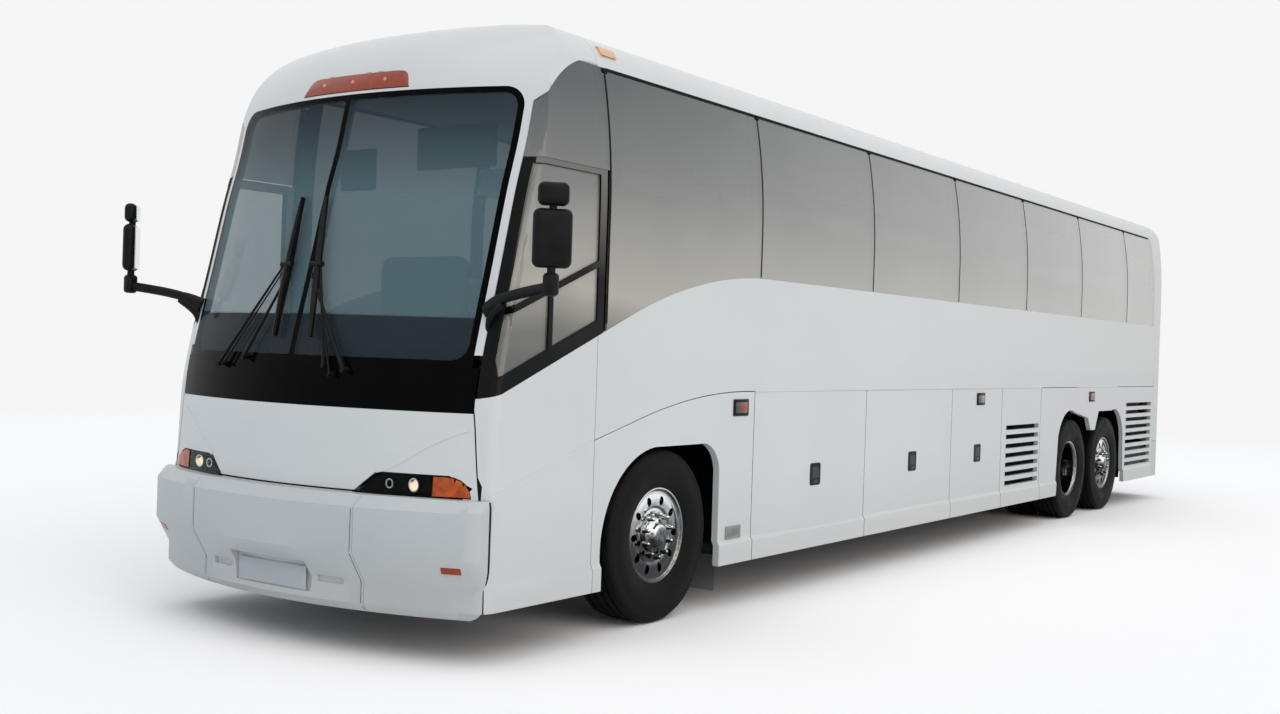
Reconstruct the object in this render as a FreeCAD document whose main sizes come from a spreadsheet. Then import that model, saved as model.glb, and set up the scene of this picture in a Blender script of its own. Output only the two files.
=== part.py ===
import FreeCAD, Part
import math
import os
import Sketcher
from types import SimpleNamespace

V = FreeCAD.Vector

# Driving sizes in millimetres and degrees. A station is a distance behind the front axle.
SIZES = {
    # The whole bus and its axles.
    "overall_length": 13500,
    "overall_width": 2590,
    "overall_height": 3510,
    "front_overhang": 2050,
    "wheelbase": 7900,
    "tag_spacing": 1220,
    # Cross-section of the body: skirt with its rolled lip, upright side, leaning glass, cove, crown.
    "skirt_bottom": 285,
    "lip_height": 130,
    "lip_depth": 15,
    "lean_height": 2450,
    "glass_radius": 4000,
    "cove_height": 3250,
    "cove_radius": 260,
    # Front mask, seen from above and from the side.
    "front_radius": 3000,
    "corner_radius": 110,
    "nose_lean": 3.3,
    "screen_lean": 14.1,
    "screen_foot_height": 1450,
    "screen_foot_setback": 160,
    "screen_blend_radius": 2000,
    "cap_radius": 620,
    # Rear mask.
    "rear_radius": 7000,
    "rear_corner_radius": 250,
    "rear_lean_height": 2400,
    "rear_lean_radius": 3000,
    "rear_top_radius": 260,
    # Walls, glass and gaps.
    "wall": 45,
    "glass": 12,
    "seam": 3,
    "door_gap": 6,
    "hinge_radius": 5,
    "seat_gap": 0.3,
    # Lines along the side: belt under the glass, waist over the luggage doors.
    "belt_height": 2158,
    "belt_rise_start": -450,
    "belt_slope": 21.6,
    "belt_radius": 4350,
    "waist_height": 1405,
    "waist_rise_start": -300,
    "waist_slope": 14,
    "waist_radius": 4960,
    # Stations of the seams.
    "mask_station": -1660,
    "cap_station": -750,
    "arch_panel_end": 1010,
    "bay_pitch": 1710,
    "last_bay_length": 1220,
    "louvre_door_length": 1100,
    "rear_arch_panel_length": 3000,
    "rear_mask_station": 10980,
    # Side glazing.
    "window_pitch": 1730,
    "window_shift": 60,
    "window_end": 10880,
    "window_arch_length": 900,
    "window_arch_height": 1680,
    "window_arch_foot": 1600,
    "pillar_width": 90,
    "pillar_depth": 60,
    # Windshield, black panel and nose.
    "pillar_strip": 40,
    "screen_half_width": 1130,
    "screen_bottom": 1535,
    "screen_top": 3055,
    "screen_edge_radius": 120,
    "gasket": 35,
    "divider": 40,
    "panel_bottom": 1300,
    "panel_half_width": 1165,
    # Bumper.
    "bumper_top": 860,
    "bumper_face_top": 800,
    "bumper_face_bottom": 560,
    "bumper_bottom": 240,
    "bumper_proud": 120,
    "bumper_wall": 70,
    "bumper_split": 645,
    "plate_half_width": 300,
    "plate_pocket_bottom": 315,
    "plate_pocket_top": 480,
    "plate_pocket_depth": 14,
    "notch_start": 345,
    "notch_end": 520,
    "notch_bottom": 375,
    "notch_top": 412,
    # Lamps.
    "headlamp_inner": 520,
    "headlamp_outer": 1185,
    "headlamp_top": 978,
    "headlamp_depth": 120,
    "roof_lamp_half_width": 380,
    "roof_lamp_height": 75,
    "roof_lamp_rise": 66,
    "lamp_proud": 12,
    "marker_front": 828,
    "marker_rear": 8429,
    "marker_height": 1300,
    "marker_half_length": 95,
    "roof_marker_station": -615,
    "roof_marker_half_length": 75,
    "roof_marker_bottom": 3328,
    "roof_marker_height": 50,
    "marker_half_height": 55,
    "docking_station": 775,
    "docking_height": 489,
    "docking_half_height": 42,
    # Driver window and entrance door.
    "driver_window_top": 2660,
    "driver_frame": 60,
    "entrance_front": -1560,
    "entrance_bottom": 440,
    # Wheel arches.
    "arch_front": 683,
    "arch_rear": 590,
    "arch_top": 1080,
    "arch_spring": 450,
    "arch_flat_front": 150,
    "arch_flat_rear": 350,
    "arch_corner_foot": 900,
    "rear_arch_top": 1135,
    "rear_arch_tongue": 930,
    "wheelhouse_wall": 12,
    "wheelhouse_half_length": 750,
    # Running gear.
    "tyre_radius": 530,
    "tyre_width": 312,
    "rim_radius": 286,
    "rim_width": 240,
    "twin_spacing": 345,
    "front_track_half": 1085,
    "tag_track_half": 1094,
    "kingpin_half": 925,
    "disc_thickness": 26,
    "hub_radius": 88,
    "hub_proud": 55,
    "hand_hole_circle": 196,
    "hand_hole_radius": 27,
    "hand_holes": 10,
    "steer_disc_offset": 62,
    "kingpin_eye": 50,
    "kingpin_radius": 22,
    "spindle_radius": 36,
    "spring_radius": 105,
    "differential_radius": 205,
    "differential_half": 170,
    "axle_tube_radius": 62,
    "brake_radius": 205,
    # Floor, frame and engine.
    "deck_top": 1470,
    "deck_thickness": 60,
    "cab_floor_top": 930,
    "bay_floor_bottom": 330,
    "plate": 30,
    "rail_inner": 380,
    "rail_width": 70,
    "rail_bottom": 640,
    "rail_height": 120,
    "tow_bore_radius": 20,
    "engine_start": 9810,
    "engine_length": 1270,
    "engine_bottom": 520,
    "engine_height": 740,
    # Seats and racks.
    "seat_pitch": 790,
    "seat_rows": 12,
    "seat_first": 520,
    "seat_width": 1020,
    "seat_height": 430,
    "seat_back_height": 1130,
    "seat_depth": 450,
    "rack_bottom": 2790,
    "rack_height": 200,
    "rack_inner": 760,
    "dash_reach": 260,
    "stair_half": 420,
    "driver_bar_rise": 390,
    "driver_bar_station": -1195,
    # Rear mask.
    "rear_bumper_top": 720,
    "rear_window_half": 900,
    "rear_window_bottom": 2230,
    "rear_window_top": 2980,
    "engine_door_half": 860,
    "engine_door_bottom": 760,
    "engine_door_top": 2040,
    "engine_door_recess": 10,
    "engine_hinge_radius": 8,
    "engine_hinge_half": 180,
    "tail_lamp_half": 1040,
    "tail_lamp_radius": 72,
    "tail_lamp_bottom": 1120,
    # Cab fittings, mirrors and wipers.
    "driver_seat_x": 700,
    "driver_seat_depth": 330,
    "column_lean": 25,
    "steering_radius": 230,
    "steering_grip": 16,
    "mirror_x": 1676,
    "mirror_station": -1705,
    "mirror_arm_height": 1950,
    "mirror_arm_radius": 24,
    "mirror_head_split": 2338,
    "mirror_head_top": 2465,
    "mirror_width": 200,
    "mirror_thickness": 85,
    "mirror_foot_bottom": 1700,
    "mirror_foot_top": 1970,
    "mirror_foot_depth": 34,
    "wiper_top": 2455,
    "wiper_low": 1668,
    "wiper_foot": 1490,
    "wiper_off": 34,
    "wiper_rod": 8,
    # Louvres of the side grilles.
    "louvre_bottom": 478,
    "louvre_top": 1100,
    "grille_bottom": 465,
    "grille_top": 1260,
    "slat_pitch": 88,
    "slat_opening": 44,
}


class Cell(float):
    """A size of the sheet, or a sum worked out from such sizes, that keeps its formula."""

    def __new__(cls, value, text=None):
        cell = float.__new__(cls, value)
        cell.text = text or repr(float(value))
        return cell

    def __add__(self, other):
        return Cell(float(self) + float(other), f"({self.text} + {formula(other)})")

    def __radd__(self, other):
        return Cell(float(other) + float(self), f"({formula(other)} + {self.text})")

    def __sub__(self, other):
        return Cell(float(self) - float(other), f"({self.text} - {formula(other)})")

    def __rsub__(self, other):
        return Cell(float(other) - float(self), f"({formula(other)} - {self.text})")

    def __mul__(self, other):
        return Cell(float(self) * float(other), f"({self.text} * {formula(other)})")

    __rmul__ = __mul__

    def __truediv__(self, other):
        return Cell(float(self) / float(other), f"({self.text} / {formula(other)})")

    def __neg__(self):
        return Cell(-float(self), f"(0 - {self.text})")


def formula(value):
    return value.text if isinstance(value, Cell) else repr(float(value))


doc = FreeCAD.newDocument("coach_bus")
sheet = doc.addObject("Spreadsheet::Sheet", "Sizes")
for row, (alias, value) in enumerate(SIZES.items(), start=1):
    sheet.set(f"A{row}", alias)
    sheet.set(f"B{row}", str(value))
    sheet.setAlias(f"B{row}", alias)
doc.recompute()
s = SimpleNamespace(**{alias: Cell(sheet.get(alias), f"Sizes.{alias}") for alias in SIZES})

# Places that follow from the sizes.
FRONT = -s.overall_length / 2
FRONT_AXLE = FRONT + s.front_overhang
DRIVE_AXLE = FRONT_AXLE + s.wheelbase
TAG_AXLE = DRIVE_AXLE + s.tag_spacing
HALF = s.overall_width / 2
SIDE = HALF - s.lip_depth
MASK = FRONT_AXLE + s.mask_station
CAP = FRONT_AXLE + s.cap_station
REAR_MASK = FRONT_AXLE + s.rear_mask_station
BAY_START = FRONT_AXLE + s.arch_panel_end
BAYS = [
    (BAY_START, BAY_START + s.bay_pitch),
    (BAY_START + s.bay_pitch, BAY_START + 2 * s.bay_pitch),
    (BAY_START + 2 * s.bay_pitch, BAY_START + 2 * s.bay_pitch + s.last_bay_length),
]
LOUVRE_START = BAYS[-1][1]
REAR_ARCH_START = LOUVRE_START + s.louvre_door_length
REAR_ARCH_END = REAR_ARCH_START + s.rear_arch_panel_length
FAR = s.overall_length
SIDES = {"left": 1, "right": -1}
NODES = []


def keep(obj, node):
    """Name an object of the document as one sub-part of the bus."""
    obj.Label = node
    NODES.append(obj)
    return obj


def piece(node, *shapes):
    """Sub-part made of one or more solids that are worked out from the body's own surfaces."""
    solids = [solid for shape in shapes for solid in shape.Solids]
    obj = doc.addObject("Part::Feature", node)
    obj.Shape = solids[0] if len(solids) == 1 else Part.Compound(solids)
    obj.Placement = FreeCAD.Placement()
    return keep(obj, node)


def block(name, x, y, z, length, width, height):
    """Box bound to the sheet: its low corner, then its size along X, Y and Z."""
    box = doc.addObject("Part::Box", name)
    values = {
        "Placement.Base.x": x,
        "Placement.Base.y": y,
        "Placement.Base.z": z,
        "Length": length,
        "Width": width,
        "Height": height,
    }
    for prop, value in values.items():
        box.setExpression(prop, formula(value))
    return box


def rod(name, x, y, z, radius, length, axis="z"):
    """Cylinder bound to the sheet that starts at a point and runs along X, Y or Z."""
    turns = {"x": (V(0, 1, 0), 90), "y": (V(1, 0, 0), -90), "z": (V(0, 0, 1), 0)}
    cylinder = doc.addObject("Part::Cylinder", name)
    cylinder.Placement.Rotation = FreeCAD.Rotation(*turns[axis])
    values = {
        "Placement.Base.x": x,
        "Placement.Base.y": y,
        "Placement.Base.z": z,
        "Radius": radius,
        "Height": length,
    }
    for prop, value in values.items():
        cylinder.setExpression(prop, formula(value))
    return cylinder


def fused(node, parts):
    """Sub-part welded from several primitives."""
    obj = doc.addObject("Part::MultiFuse", node)
    obj.Shapes = parts
    return keep(obj, node)


def group(node, parts):
    """Sub-part of like solids that don't touch."""
    obj = doc.addObject("Part::Compound", node)
    obj.Links = parts
    return keep(obj, node)


def slab(y_low=-FAR, y_high=FAR, z_low=-FAR, z_high=FAR, x_low=-FAR, x_high=FAR):
    """Plain box between limits, for cutting panels out of the body."""
    return Part.makeBox(
        x_high - x_low, y_high - y_low, z_high - z_low, V(float(x_low), float(y_low), float(z_low))
    )


def half(side, inner=0):
    """Everything on one side of the bus, from a distance off the middle outwards."""
    if side > 0:
        return slab(x_low=inner)
    return slab(x_high=-inner)


def path(start, *steps):
    """Wire from a start through steps: a point is a straight run, a pair of points is an arc."""
    edges = []
    here = start
    for step in steps:
        if isinstance(step, tuple):
            middle, end = step
            edges.append(Part.Arc(here, middle, end).toShape())
        else:
            end = step
            edges.append(Part.LineSegment(here, end).toShape())
        here = end
    return Part.Wire(edges)


def side_point(y, z):
    return V(0, float(y), float(z))


def across(wire):
    """Outline in side view, drawn right through the bus."""
    face = Part.Face(wire)
    face.translate(V(-FAR, 0, 0))
    return face.extrude(V(2 * FAR, 0, 0))


def along(wire, y_low, y_high):
    """Outline in front view, drawn along the bus between two places."""
    face = Part.Face(wire)
    face.translate(V(0, float(y_low), 0))
    return face.extrude(V(0, float(y_high - y_low), 0))


def cross_section(depth):
    """Body seen from the front, its walls set in by a depth, drawn along the whole bus."""
    lean_centre = SIDE - s.glass_radius
    lean = math.asin((s.cove_height - s.lean_height) / s.glass_radius)
    glass_radius = s.glass_radius - depth
    cove_x = lean_centre + (s.glass_radius - s.cove_radius) * math.cos(lean)
    cove_z = s.lean_height + (s.glass_radius - s.cove_radius) * math.sin(lean)
    drop = s.overall_height - cove_z
    crown_radius = (cove_x ** 2 + drop ** 2 - s.cove_radius ** 2) / (2 * drop - 2 * s.cove_radius)
    crown_centre = V(0, 0, float(s.overall_height - crown_radius))
    toward = (V(float(cove_x), 0, float(cove_z)) - crown_centre).normalize()
    cove_radius = s.cove_radius - depth
    middle = (lean + math.atan2(toward.z, toward.x)) / 2

    def glass_at(angle):
        return V(lean_centre + glass_radius * math.cos(angle), 0,
                 s.lean_height + glass_radius * math.sin(angle))

    def mirrored(point):
        return V(-point.x, point.y, point.z)

    low = s.skirt_bottom - s.overall_height
    lip_top = s.skirt_bottom + s.lip_height
    skirt = V(HALF - depth, 0, low)
    lip = V(HALF - depth, 0, lip_top)
    wall_foot = V(SIDE - depth, 0, lip_top + 2 * s.lip_depth)
    wall_top = V(SIDE - depth, 0, s.lean_height)
    glass_mid = glass_at(lean / 2)
    glass_top = glass_at(lean)
    cove_mid = V(cove_x + cove_radius * math.cos(middle), 0, cove_z + cove_radius * math.sin(middle))
    cove_end = V(float(cove_x), 0, float(cove_z)) + toward * float(cove_radius)
    crown = V(0, 0, s.overall_height - depth)
    wire = path(
        mirrored(skirt), skirt, lip, wall_foot, wall_top, (glass_mid, glass_top),
        (cove_mid, cove_end), (crown, mirrored(cove_end)), (mirrored(cove_mid), mirrored(glass_top)),
        (mirrored(glass_mid), mirrored(wall_top)), mirrored(wall_foot), mirrored(lip), mirrored(skirt),
    )
    return along(wire, -FAR, FAR)


def plan_wire(depth, nose, z, half_width=HALF, back=FAR):
    """Body seen from above at one height: bowed front, rounded corners, straight sides."""
    width = half_width - depth
    radius = s.front_radius - depth
    corner = max(s.corner_radius - depth, s.seam)
    bow_centre = nose + s.front_radius
    turn = math.asin((width - corner) / (radius - corner))
    corner_y = bow_centre - (radius - corner) * math.cos(turn)
    half_turn = (turn + math.pi / 2) / 2
    bow_end = V(radius * math.sin(turn), bow_centre - radius * math.cos(turn), z)
    corner_mid = V(width - corner + corner * math.sin(half_turn), corner_y - corner * math.cos(half_turn), z)
    corner_end = V(width, corner_y, z)

    def mirrored(point):
        return V(-point.x, point.y, point.z)

    return path(
        mirrored(bow_end), (V(0, bow_centre - radius, z), bow_end), (corner_mid, corner_end),
        V(width, back, z), V(-width, back, z), mirrored(corner_end), (mirrored(corner_mid), mirrored(bow_end)),
    )


def front_profile():
    """Side view of the mask on the middle line: nose, blend, windshield, cap curve, roof."""
    nose_lean = math.radians(s.nose_lean)
    screen_lean = math.radians(s.screen_lean)
    foot_y = FRONT + s.screen_foot_setback
    foot_z = s.screen_foot_height
    tangent = s.screen_blend_radius * math.tan((screen_lean - nose_lean) / 2)
    start_y = foot_y - tangent * math.sin(nose_lean)
    start_z = foot_z - tangent * math.cos(nose_lean)
    low_z = -s.skirt_bottom
    nose_steps = 3
    points = []
    for step in range(nose_steps):
        z = low_z + (start_z - low_z) * step / nose_steps
        points.append((start_y - (start_z - z) * math.tan(nose_lean), z))
    points.append((start_y, start_z))
    blend_y = start_y + s.screen_blend_radius * math.cos(nose_lean)
    blend_z = start_z - s.screen_blend_radius * math.sin(nose_lean)
    for angle in ((nose_lean + screen_lean) / 2, screen_lean):
        points.append((blend_y - s.screen_blend_radius * math.cos(angle),
                       blend_z + s.screen_blend_radius * math.sin(angle)))
    foot = points[-1]
    top_z = s.overall_height - s.cap_radius * (1 - math.sin(screen_lean))
    screen_steps = 3
    for step in range(1, screen_steps + 1):
        z = foot[1] + (top_z - foot[1]) * step / screen_steps
        points.append((foot[0] + (z - foot[1]) * math.tan(screen_lean), z))
    cap_y = points[-1][0] + s.cap_radius * math.cos(screen_lean)
    cap_z = points[-1][1] - s.cap_radius * math.sin(screen_lean)
    cap_end = math.radians(86)
    cap_steps = 5
    for step in range(1, cap_steps + 1):
        angle = screen_lean + (cap_end - screen_lean) * step / cap_steps
        points.append((cap_y - s.cap_radius * math.cos(angle), cap_z + s.cap_radius * math.sin(angle)))
    run_out = s.cap_radius / 2
    last = points[-1]
    points.append((last[0] + run_out * math.sin(cap_end), last[1] + run_out * math.cos(cap_end)))
    return [(float(y), float(z)) for y, z in points]


def front_mask(depth):
    wires = [plan_wire(depth, y, z) for y, z in front_profile()]
    return Part.makeLoft(wires, True, False)


def rear_plan(depth):
    """Bowed rear with rounded corners, seen from above."""
    width = HALF - depth
    radius = s.rear_radius - depth
    corner = max(s.rear_corner_radius - depth, s.seam)
    bow_centre = -FRONT - s.rear_radius
    turn = math.asin((width - corner) / (radius - corner))
    corner_y = bow_centre + (radius - corner) * math.cos(turn)
    half_turn = (turn + math.pi / 2) / 2
    bow_end = V(radius * math.sin(turn), bow_centre + radius * math.cos(turn), 0)
    corner_mid = V(width - corner + corner * math.sin(half_turn), corner_y + corner * math.cos(half_turn), 0)
    corner_end = V(width, corner_y, 0)

    def mirrored(point):
        return V(-point.x, point.y, point.z)

    wire = path(
        mirrored(bow_end), (V(0, bow_centre + radius, 0), bow_end), (corner_mid, corner_end),
        V(width, -FAR, 0), V(-width, -FAR, 0), mirrored(corner_end), (mirrored(corner_mid), mirrored(bow_end)),
    )
    face = Part.Face(wire)
    face.translate(V(0, 0, -s.overall_height))
    return face.extrude(V(0, 0, 3 * s.overall_height))


def rear_profile(depth):
    """Rear seen from the side: upright, then leaning forward, then rounded into the roof."""
    lean_y = -FRONT - s.rear_lean_radius
    centre_rise = s.overall_height - s.rear_top_radius - s.rear_lean_height
    reach = s.rear_lean_radius - s.rear_top_radius
    lean = math.asin(centre_rise / reach)
    top_y = lean_y + reach * math.cos(lean)
    top_z = s.rear_lean_height + centre_rise
    radius = s.rear_lean_radius - depth
    top_radius = s.rear_top_radius - depth
    half_lean = lean / 2
    half_top = (lean + math.pi / 2) / 2
    low = -s.overall_height
    wire = path(
        side_point(-FAR, low), side_point(-FRONT - depth, low), side_point(-FRONT - depth, s.rear_lean_height),
        (side_point(lean_y + radius * math.cos(half_lean), s.rear_lean_height + radius * math.sin(half_lean)),
         side_point(lean_y + radius * math.cos(lean), s.rear_lean_height + radius * math.sin(lean))),
        (side_point(top_y + top_radius * math.cos(half_top), top_z + top_radius * math.sin(half_top)),
         side_point(top_y, top_z + top_radius)),
        side_point(-FAR, top_z + top_radius), side_point(-FAR, low),
    )
    return across(wire)


def body_form(depth):
    """The whole body as one block, its surface set in by a depth."""
    form = cross_section(depth).common(front_mask(depth))
    return form.common(rear_plan(depth)).common(rear_profile(depth))


OUTER = body_form(0)
INNER = body_form(s.wall)
GLASS_INNER = body_form(s.glass)
FRAME_OUTER = body_form(s.glass + s.seat_gap)
FRAME_INNER = body_form(s.pillar_depth)


def curve_points(height, rise_start, slope, radius, shift):
    """A line along the side that rises from the front, bends and runs level to the rear."""
    angle = math.radians(slope)
    rise_y = FRONT_AXLE + rise_start
    level_y = rise_y + radius * math.sin(angle)
    bend_z = height - radius * (1 - math.cos(angle))
    start_y = FRONT
    return [
        side_point(start_y, bend_z - (rise_y - start_y) * math.tan(angle) + shift),
        side_point(rise_y, bend_z + shift),
        (side_point(level_y - radius * math.sin(angle / 2),
                    height - radius * (1 - math.cos(angle / 2)) + shift),
         side_point(level_y, height + shift)),
        side_point(FAR, height + shift),
    ]


def over(points):
    """Everything above a line along the side."""
    start, *steps = points
    end = steps[-1]
    return across(path(start, *steps, side_point(end.y, FAR), side_point(start.y, FAR), start))


def belt(shift):
    return over(curve_points(s.belt_height, s.belt_rise_start, s.belt_slope, s.belt_radius, shift))


def waist(shift):
    return over(curve_points(s.waist_height, s.waist_rise_start, s.waist_slope, s.waist_radius, shift))


OVER_BELT = belt(s.seat_gap)
UNDER_BELT = belt(0)
OVER_WAIST = waist(s.seam)
UNDER_WAIST = waist(-s.door_gap + s.seam)


def shell(region, outer=OUTER, inner=INNER):
    """The part of the body's wall that lies in a region."""
    return region.common(outer).cut(inner)


def arch_front():
    """Opening over the front wheel: it hugs the tyre in front and turns down sharply behind."""
    front, rear, top = FRONT_AXLE - s.arch_front, FRONT_AXLE + s.arch_rear, s.arch_top
    flat_front, flat_rear = FRONT_AXLE - s.arch_flat_front, FRONT_AXLE + s.arch_flat_rear
    hug = math.sqrt(0.5)
    crown = side_point(flat_front - (flat_front - front) * hug, s.arch_spring + (top - s.arch_spring) * hug)
    corner_reach = rear - flat_rear
    corner_drop = top - s.arch_corner_foot
    corner = side_point(flat_rear + corner_reach * hug, top - corner_drop * (1 - hug))
    return across(path(
        side_point(front, 0), side_point(front, s.arch_spring), (crown, side_point(flat_front, top)),
        side_point(flat_rear, top), (corner, side_point(rear - s.seam, s.arch_corner_foot)),
        side_point(rear, s.arch_spring), side_point(rear - s.seam, 0), side_point(front, 0),
    ))


def arch_rear():
    """Opening over the two rear wheels, with a tongue between them."""
    top = s.rear_arch_top
    reach = s.tyre_radius + 2 * s.wall
    shoulder = s.rear_arch_tongue + s.seam
    tongue = (DRIVE_AXLE + TAG_AXLE) / 2
    tongue_half = s.tag_spacing / 16
    front = DRIVE_AXLE - reach
    rear = TAG_AXLE + reach
    rise = reach / 2.6
    return across(path(
        side_point(front - s.wall, 0), side_point(front + s.wall, shoulder - s.wall),
        (side_point(front + rise * 0.9, top - s.wall * 0.8), side_point(DRIVE_AXLE - s.wall, top)),
        side_point(tongue - tongue_half * 2.4, top - s.wall * 1.5),
        side_point(tongue - tongue_half, s.rear_arch_tongue), side_point(tongue + tongue_half, s.rear_arch_tongue),
        side_point(tongue + tongue_half * 2.6, top), side_point(TAG_AXLE + s.wall * 2, top),
        (side_point(rear - rise * 0.7, top - s.wall * 2), side_point(rear - s.wall, shoulder - 4 * s.wall)),
        side_point(rear, 0), side_point(front - s.wall, 0),
    ))


def window_arch(inset=0):
    """Everything behind the curved front edge of the side glazing, under the cove."""
    length = s.window_arch_length - inset
    height = s.window_arch_height - inset
    centre = side_point(CAP, s.window_arch_foot)
    ellipse = Part.Ellipse(centre + V(0, 0, float(height)), centre + V(0, -float(length), 0), centre)
    top = centre + V(0, 0, float(height))
    tip = centre + V(0, -float(length), 0)
    arc = Part.Arc(ellipse, *sorted((ellipse.parameter(top), ellipse.parameter(tip)))).toShape()
    ends = [vertex.Point for vertex in arc.Vertexes]
    first, last = (ends[0], ends[1]) if ends[0].sub(top).Length < ends[1].sub(top).Length else (ends[1], ends[0])
    low = s.panel_bottom
    edges = [
        arc,
        Part.LineSegment(last, side_point(last.y, low)).toShape(),
        Part.LineSegment(side_point(last.y, low), side_point(FAR, low)).toShape(),
        Part.LineSegment(side_point(FAR, low), side_point(FAR, first.z)).toShape(),
        Part.LineSegment(side_point(FAR, first.z), first).toShape(),
    ]
    return across(Part.Wire(Part.__sortEdges__(edges)))


WINDOW_END = FRONT_AXLE + s.window_end
STRIP = s.screen_half_width + s.pillar_strip
FLOOR_HALF = SIDE - s.wall - s.seat_gap
INSIDE = body_form(s.wall + s.seat_gap)


def rounded(x_low, x_high, z_low, z_high, radius):
    """Rounded rectangle in front view."""
    r = float(radius)
    k = r * (1 - math.sqrt(0.5))
    return path(
        V(x_low + r, 0, z_low), V(x_high - r, 0, z_low), (V(x_high - k, 0, z_low + k), V(x_high, 0, z_low + r)),
        V(x_high, 0, z_high - r), (V(x_high - k, 0, z_high - k), V(x_high - r, 0, z_high)),
        V(x_low + r, 0, z_high), (V(x_low + k, 0, z_high - k), V(x_low, 0, z_high - r)),
        V(x_low, 0, z_low + r), (V(x_low + k, 0, z_low + k), V(x_low + r, 0, z_low)),
    )


# Roof, from the cap to the rear mask, with the cove down to the glass.
piece("roof", shell(slab(CAP + s.seam, REAR_MASK - s.seam, s.cove_height + s.seat_gap)))

# Mask: moulded cap with the two narrow screen pillars, open for windshield and side glazing.
SCREEN_BACK = FRONT_AXLE - s.screen_foot_height / 2 - s.wall


def screen_zone(inset):
    """Windshield outline in front view, drawn through the mask."""
    half_width = s.screen_half_width - inset
    outline = rounded(-half_width, half_width, s.screen_bottom + inset, s.screen_top - inset,
                      s.screen_edge_radius - inset)
    return along(outline, -FAR, SCREEN_BACK)


def screen_opening(inset):
    """Hole in the mask: rounded at the top, square at the foot, where the black panel meets it."""
    half_width = s.screen_half_width - inset
    foot = slab(y_high=SCREEN_BACK, z_low=s.screen_bottom + inset, z_high=s.screen_bottom + s.screen_edge_radius,
                x_low=-half_width, x_high=half_width)
    return screen_zone(inset).fuse(foot)


def panel_zone(inset):
    return slab(z_low=s.panel_bottom + inset, z_high=s.screen_bottom - inset, y_high=SCREEN_BACK,
                x_low=-s.panel_half_width + inset, x_high=s.panel_half_width - inset)


def behind_pillar(side, inset=0):
    """Side glazing zone of one side: behind the curved front edge, outside the screen pillar."""
    return window_arch(inset).common(half(side, STRIP + inset)).common(slab(z_high=s.cove_height))


BOTH_SIDES = list(SIDES.values())
cap = shell(slab(y_high=CAP, z_low=s.screen_bottom)).cut(screen_opening(0)).cut(panel_zone(0))
for side in BOTH_SIDES:
    cap = cap.cut(behind_pillar(side))
cap = cap.cut(slab(MASK, CAP, z_high=s.window_arch_foot))
roof_lamp_foot = s.screen_top + s.roof_lamp_rise - s.roof_lamp_height / 2


def roof_lamp_zone(inset):
    outline = rounded(-s.roof_lamp_half_width + inset, s.roof_lamp_half_width - inset, roof_lamp_foot + inset,
                      roof_lamp_foot + s.roof_lamp_height - inset, s.roof_lamp_height / 2 - inset - s.seat_gap)
    return along(outline, -FAR, SCREEN_BACK)


PROUD = body_form(-s.lamp_proud)
LAMP_INNER = body_form(s.lamp_proud)
cap = cap.cut(shell(roof_lamp_zone(0), OUTER, LAMP_INNER))
piece("front_cap", cap)
roof_lamp = shell(roof_lamp_zone(s.seat_gap), PROUD, body_form(s.lamp_proud - s.seat_gap))

pane_zone = screen_zone(s.gasket)
piece("windshield_panes", *[shell(pane_zone.common(half(side, s.divider / 2)), OUTER, GLASS_INNER)
                            for side in BOTH_SIDES])
ring = shell(screen_opening(s.seat_gap))
pane_hole = screen_zone(s.gasket - s.seat_gap)
for side in BOTH_SIDES:
    ring = ring.cut(pane_hole.common(half(side, s.divider / 2 - s.seat_gap)))
piece("windshield_surround", ring, shell(panel_zone(s.seat_gap)))


def lamp_zone(side, inset):
    """Swept headlamp outline in front view."""
    inner = s.headlamp_inner + 2 * inset
    outer = s.headlamp_outer - inset
    top = s.headlamp_top - inset
    low = s.bumper_top + inset
    shoulder = inner + (s.headlamp_top - s.bumper_top) * 1.2
    tip_z = (top + low) / 2
    points = [(inner, low), (shoulder, top), (outer - s.headlamp_depth, top), (outer, tip_z), (outer - s.wall, low)]
    corners = [V(side * x, 0, z) for x, z in points]
    return along(path(corners[0], *corners[1:], corners[0]), -FAR, MASK + s.headlamp_depth)


MASK_FRONT = slab(y_high=MASK - s.seam)
nose = shell(slab(y_high=MASK - s.seam, z_low=s.bumper_top + s.seat_gap, z_high=s.panel_bottom))
for side in BOTH_SIDES:
    nose = nose.cut(lamp_zone(side, 0))
piece("nose_panel", nose)
lens_inner = body_form(s.glass / 2)
housing_outer = body_form(s.glass / 2 + s.seat_gap)
lamp_back = body_form(s.headlamp_depth)
headlamps = []
for side in BOTH_SIDES:
    zone = lamp_zone(side, s.seat_gap).common(MASK_FRONT)
    headlamps.append(shell(zone, housing_outer, lamp_back))
    headlamps.append(shell(zone, OUTER, lens_inner))
piece("headlamps", *headlamps)


def bumper_form(depth):
    """Bumper block: foot, tucked chin, upright face and shoulder, bowed like the nose."""
    face = FRONT + depth
    chin = face + s.bumper_proud * 0.8
    levels = [
        (s.bumper_bottom, chin + s.wall, -s.wall / 2), (s.bumper_bottom + s.wall, chin, 0),
        ((s.bumper_bottom + s.bumper_face_bottom) / 2, chin, 0), (s.bumper_face_bottom, face, 0),
        (s.bumper_face_top, face, 0), (s.bumper_top, face + s.bumper_proud / 2, 0),
    ]
    wires = []
    for z, y, spread in levels:
        wires.append(plan_wire(0, float(y), float(z), HALF - depth + spread))
    return Part.makeLoft(wires, True, True)


bumper = bumper_form(0).cut(bumper_form(s.bumper_wall).common(slab(z_high=s.bumper_top - s.wall / 2)))
bumper = bumper.common(slab(y_high=MASK - s.seam)).cut(OUTER.common(slab(z_low=s.bumper_face_top)))


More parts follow.
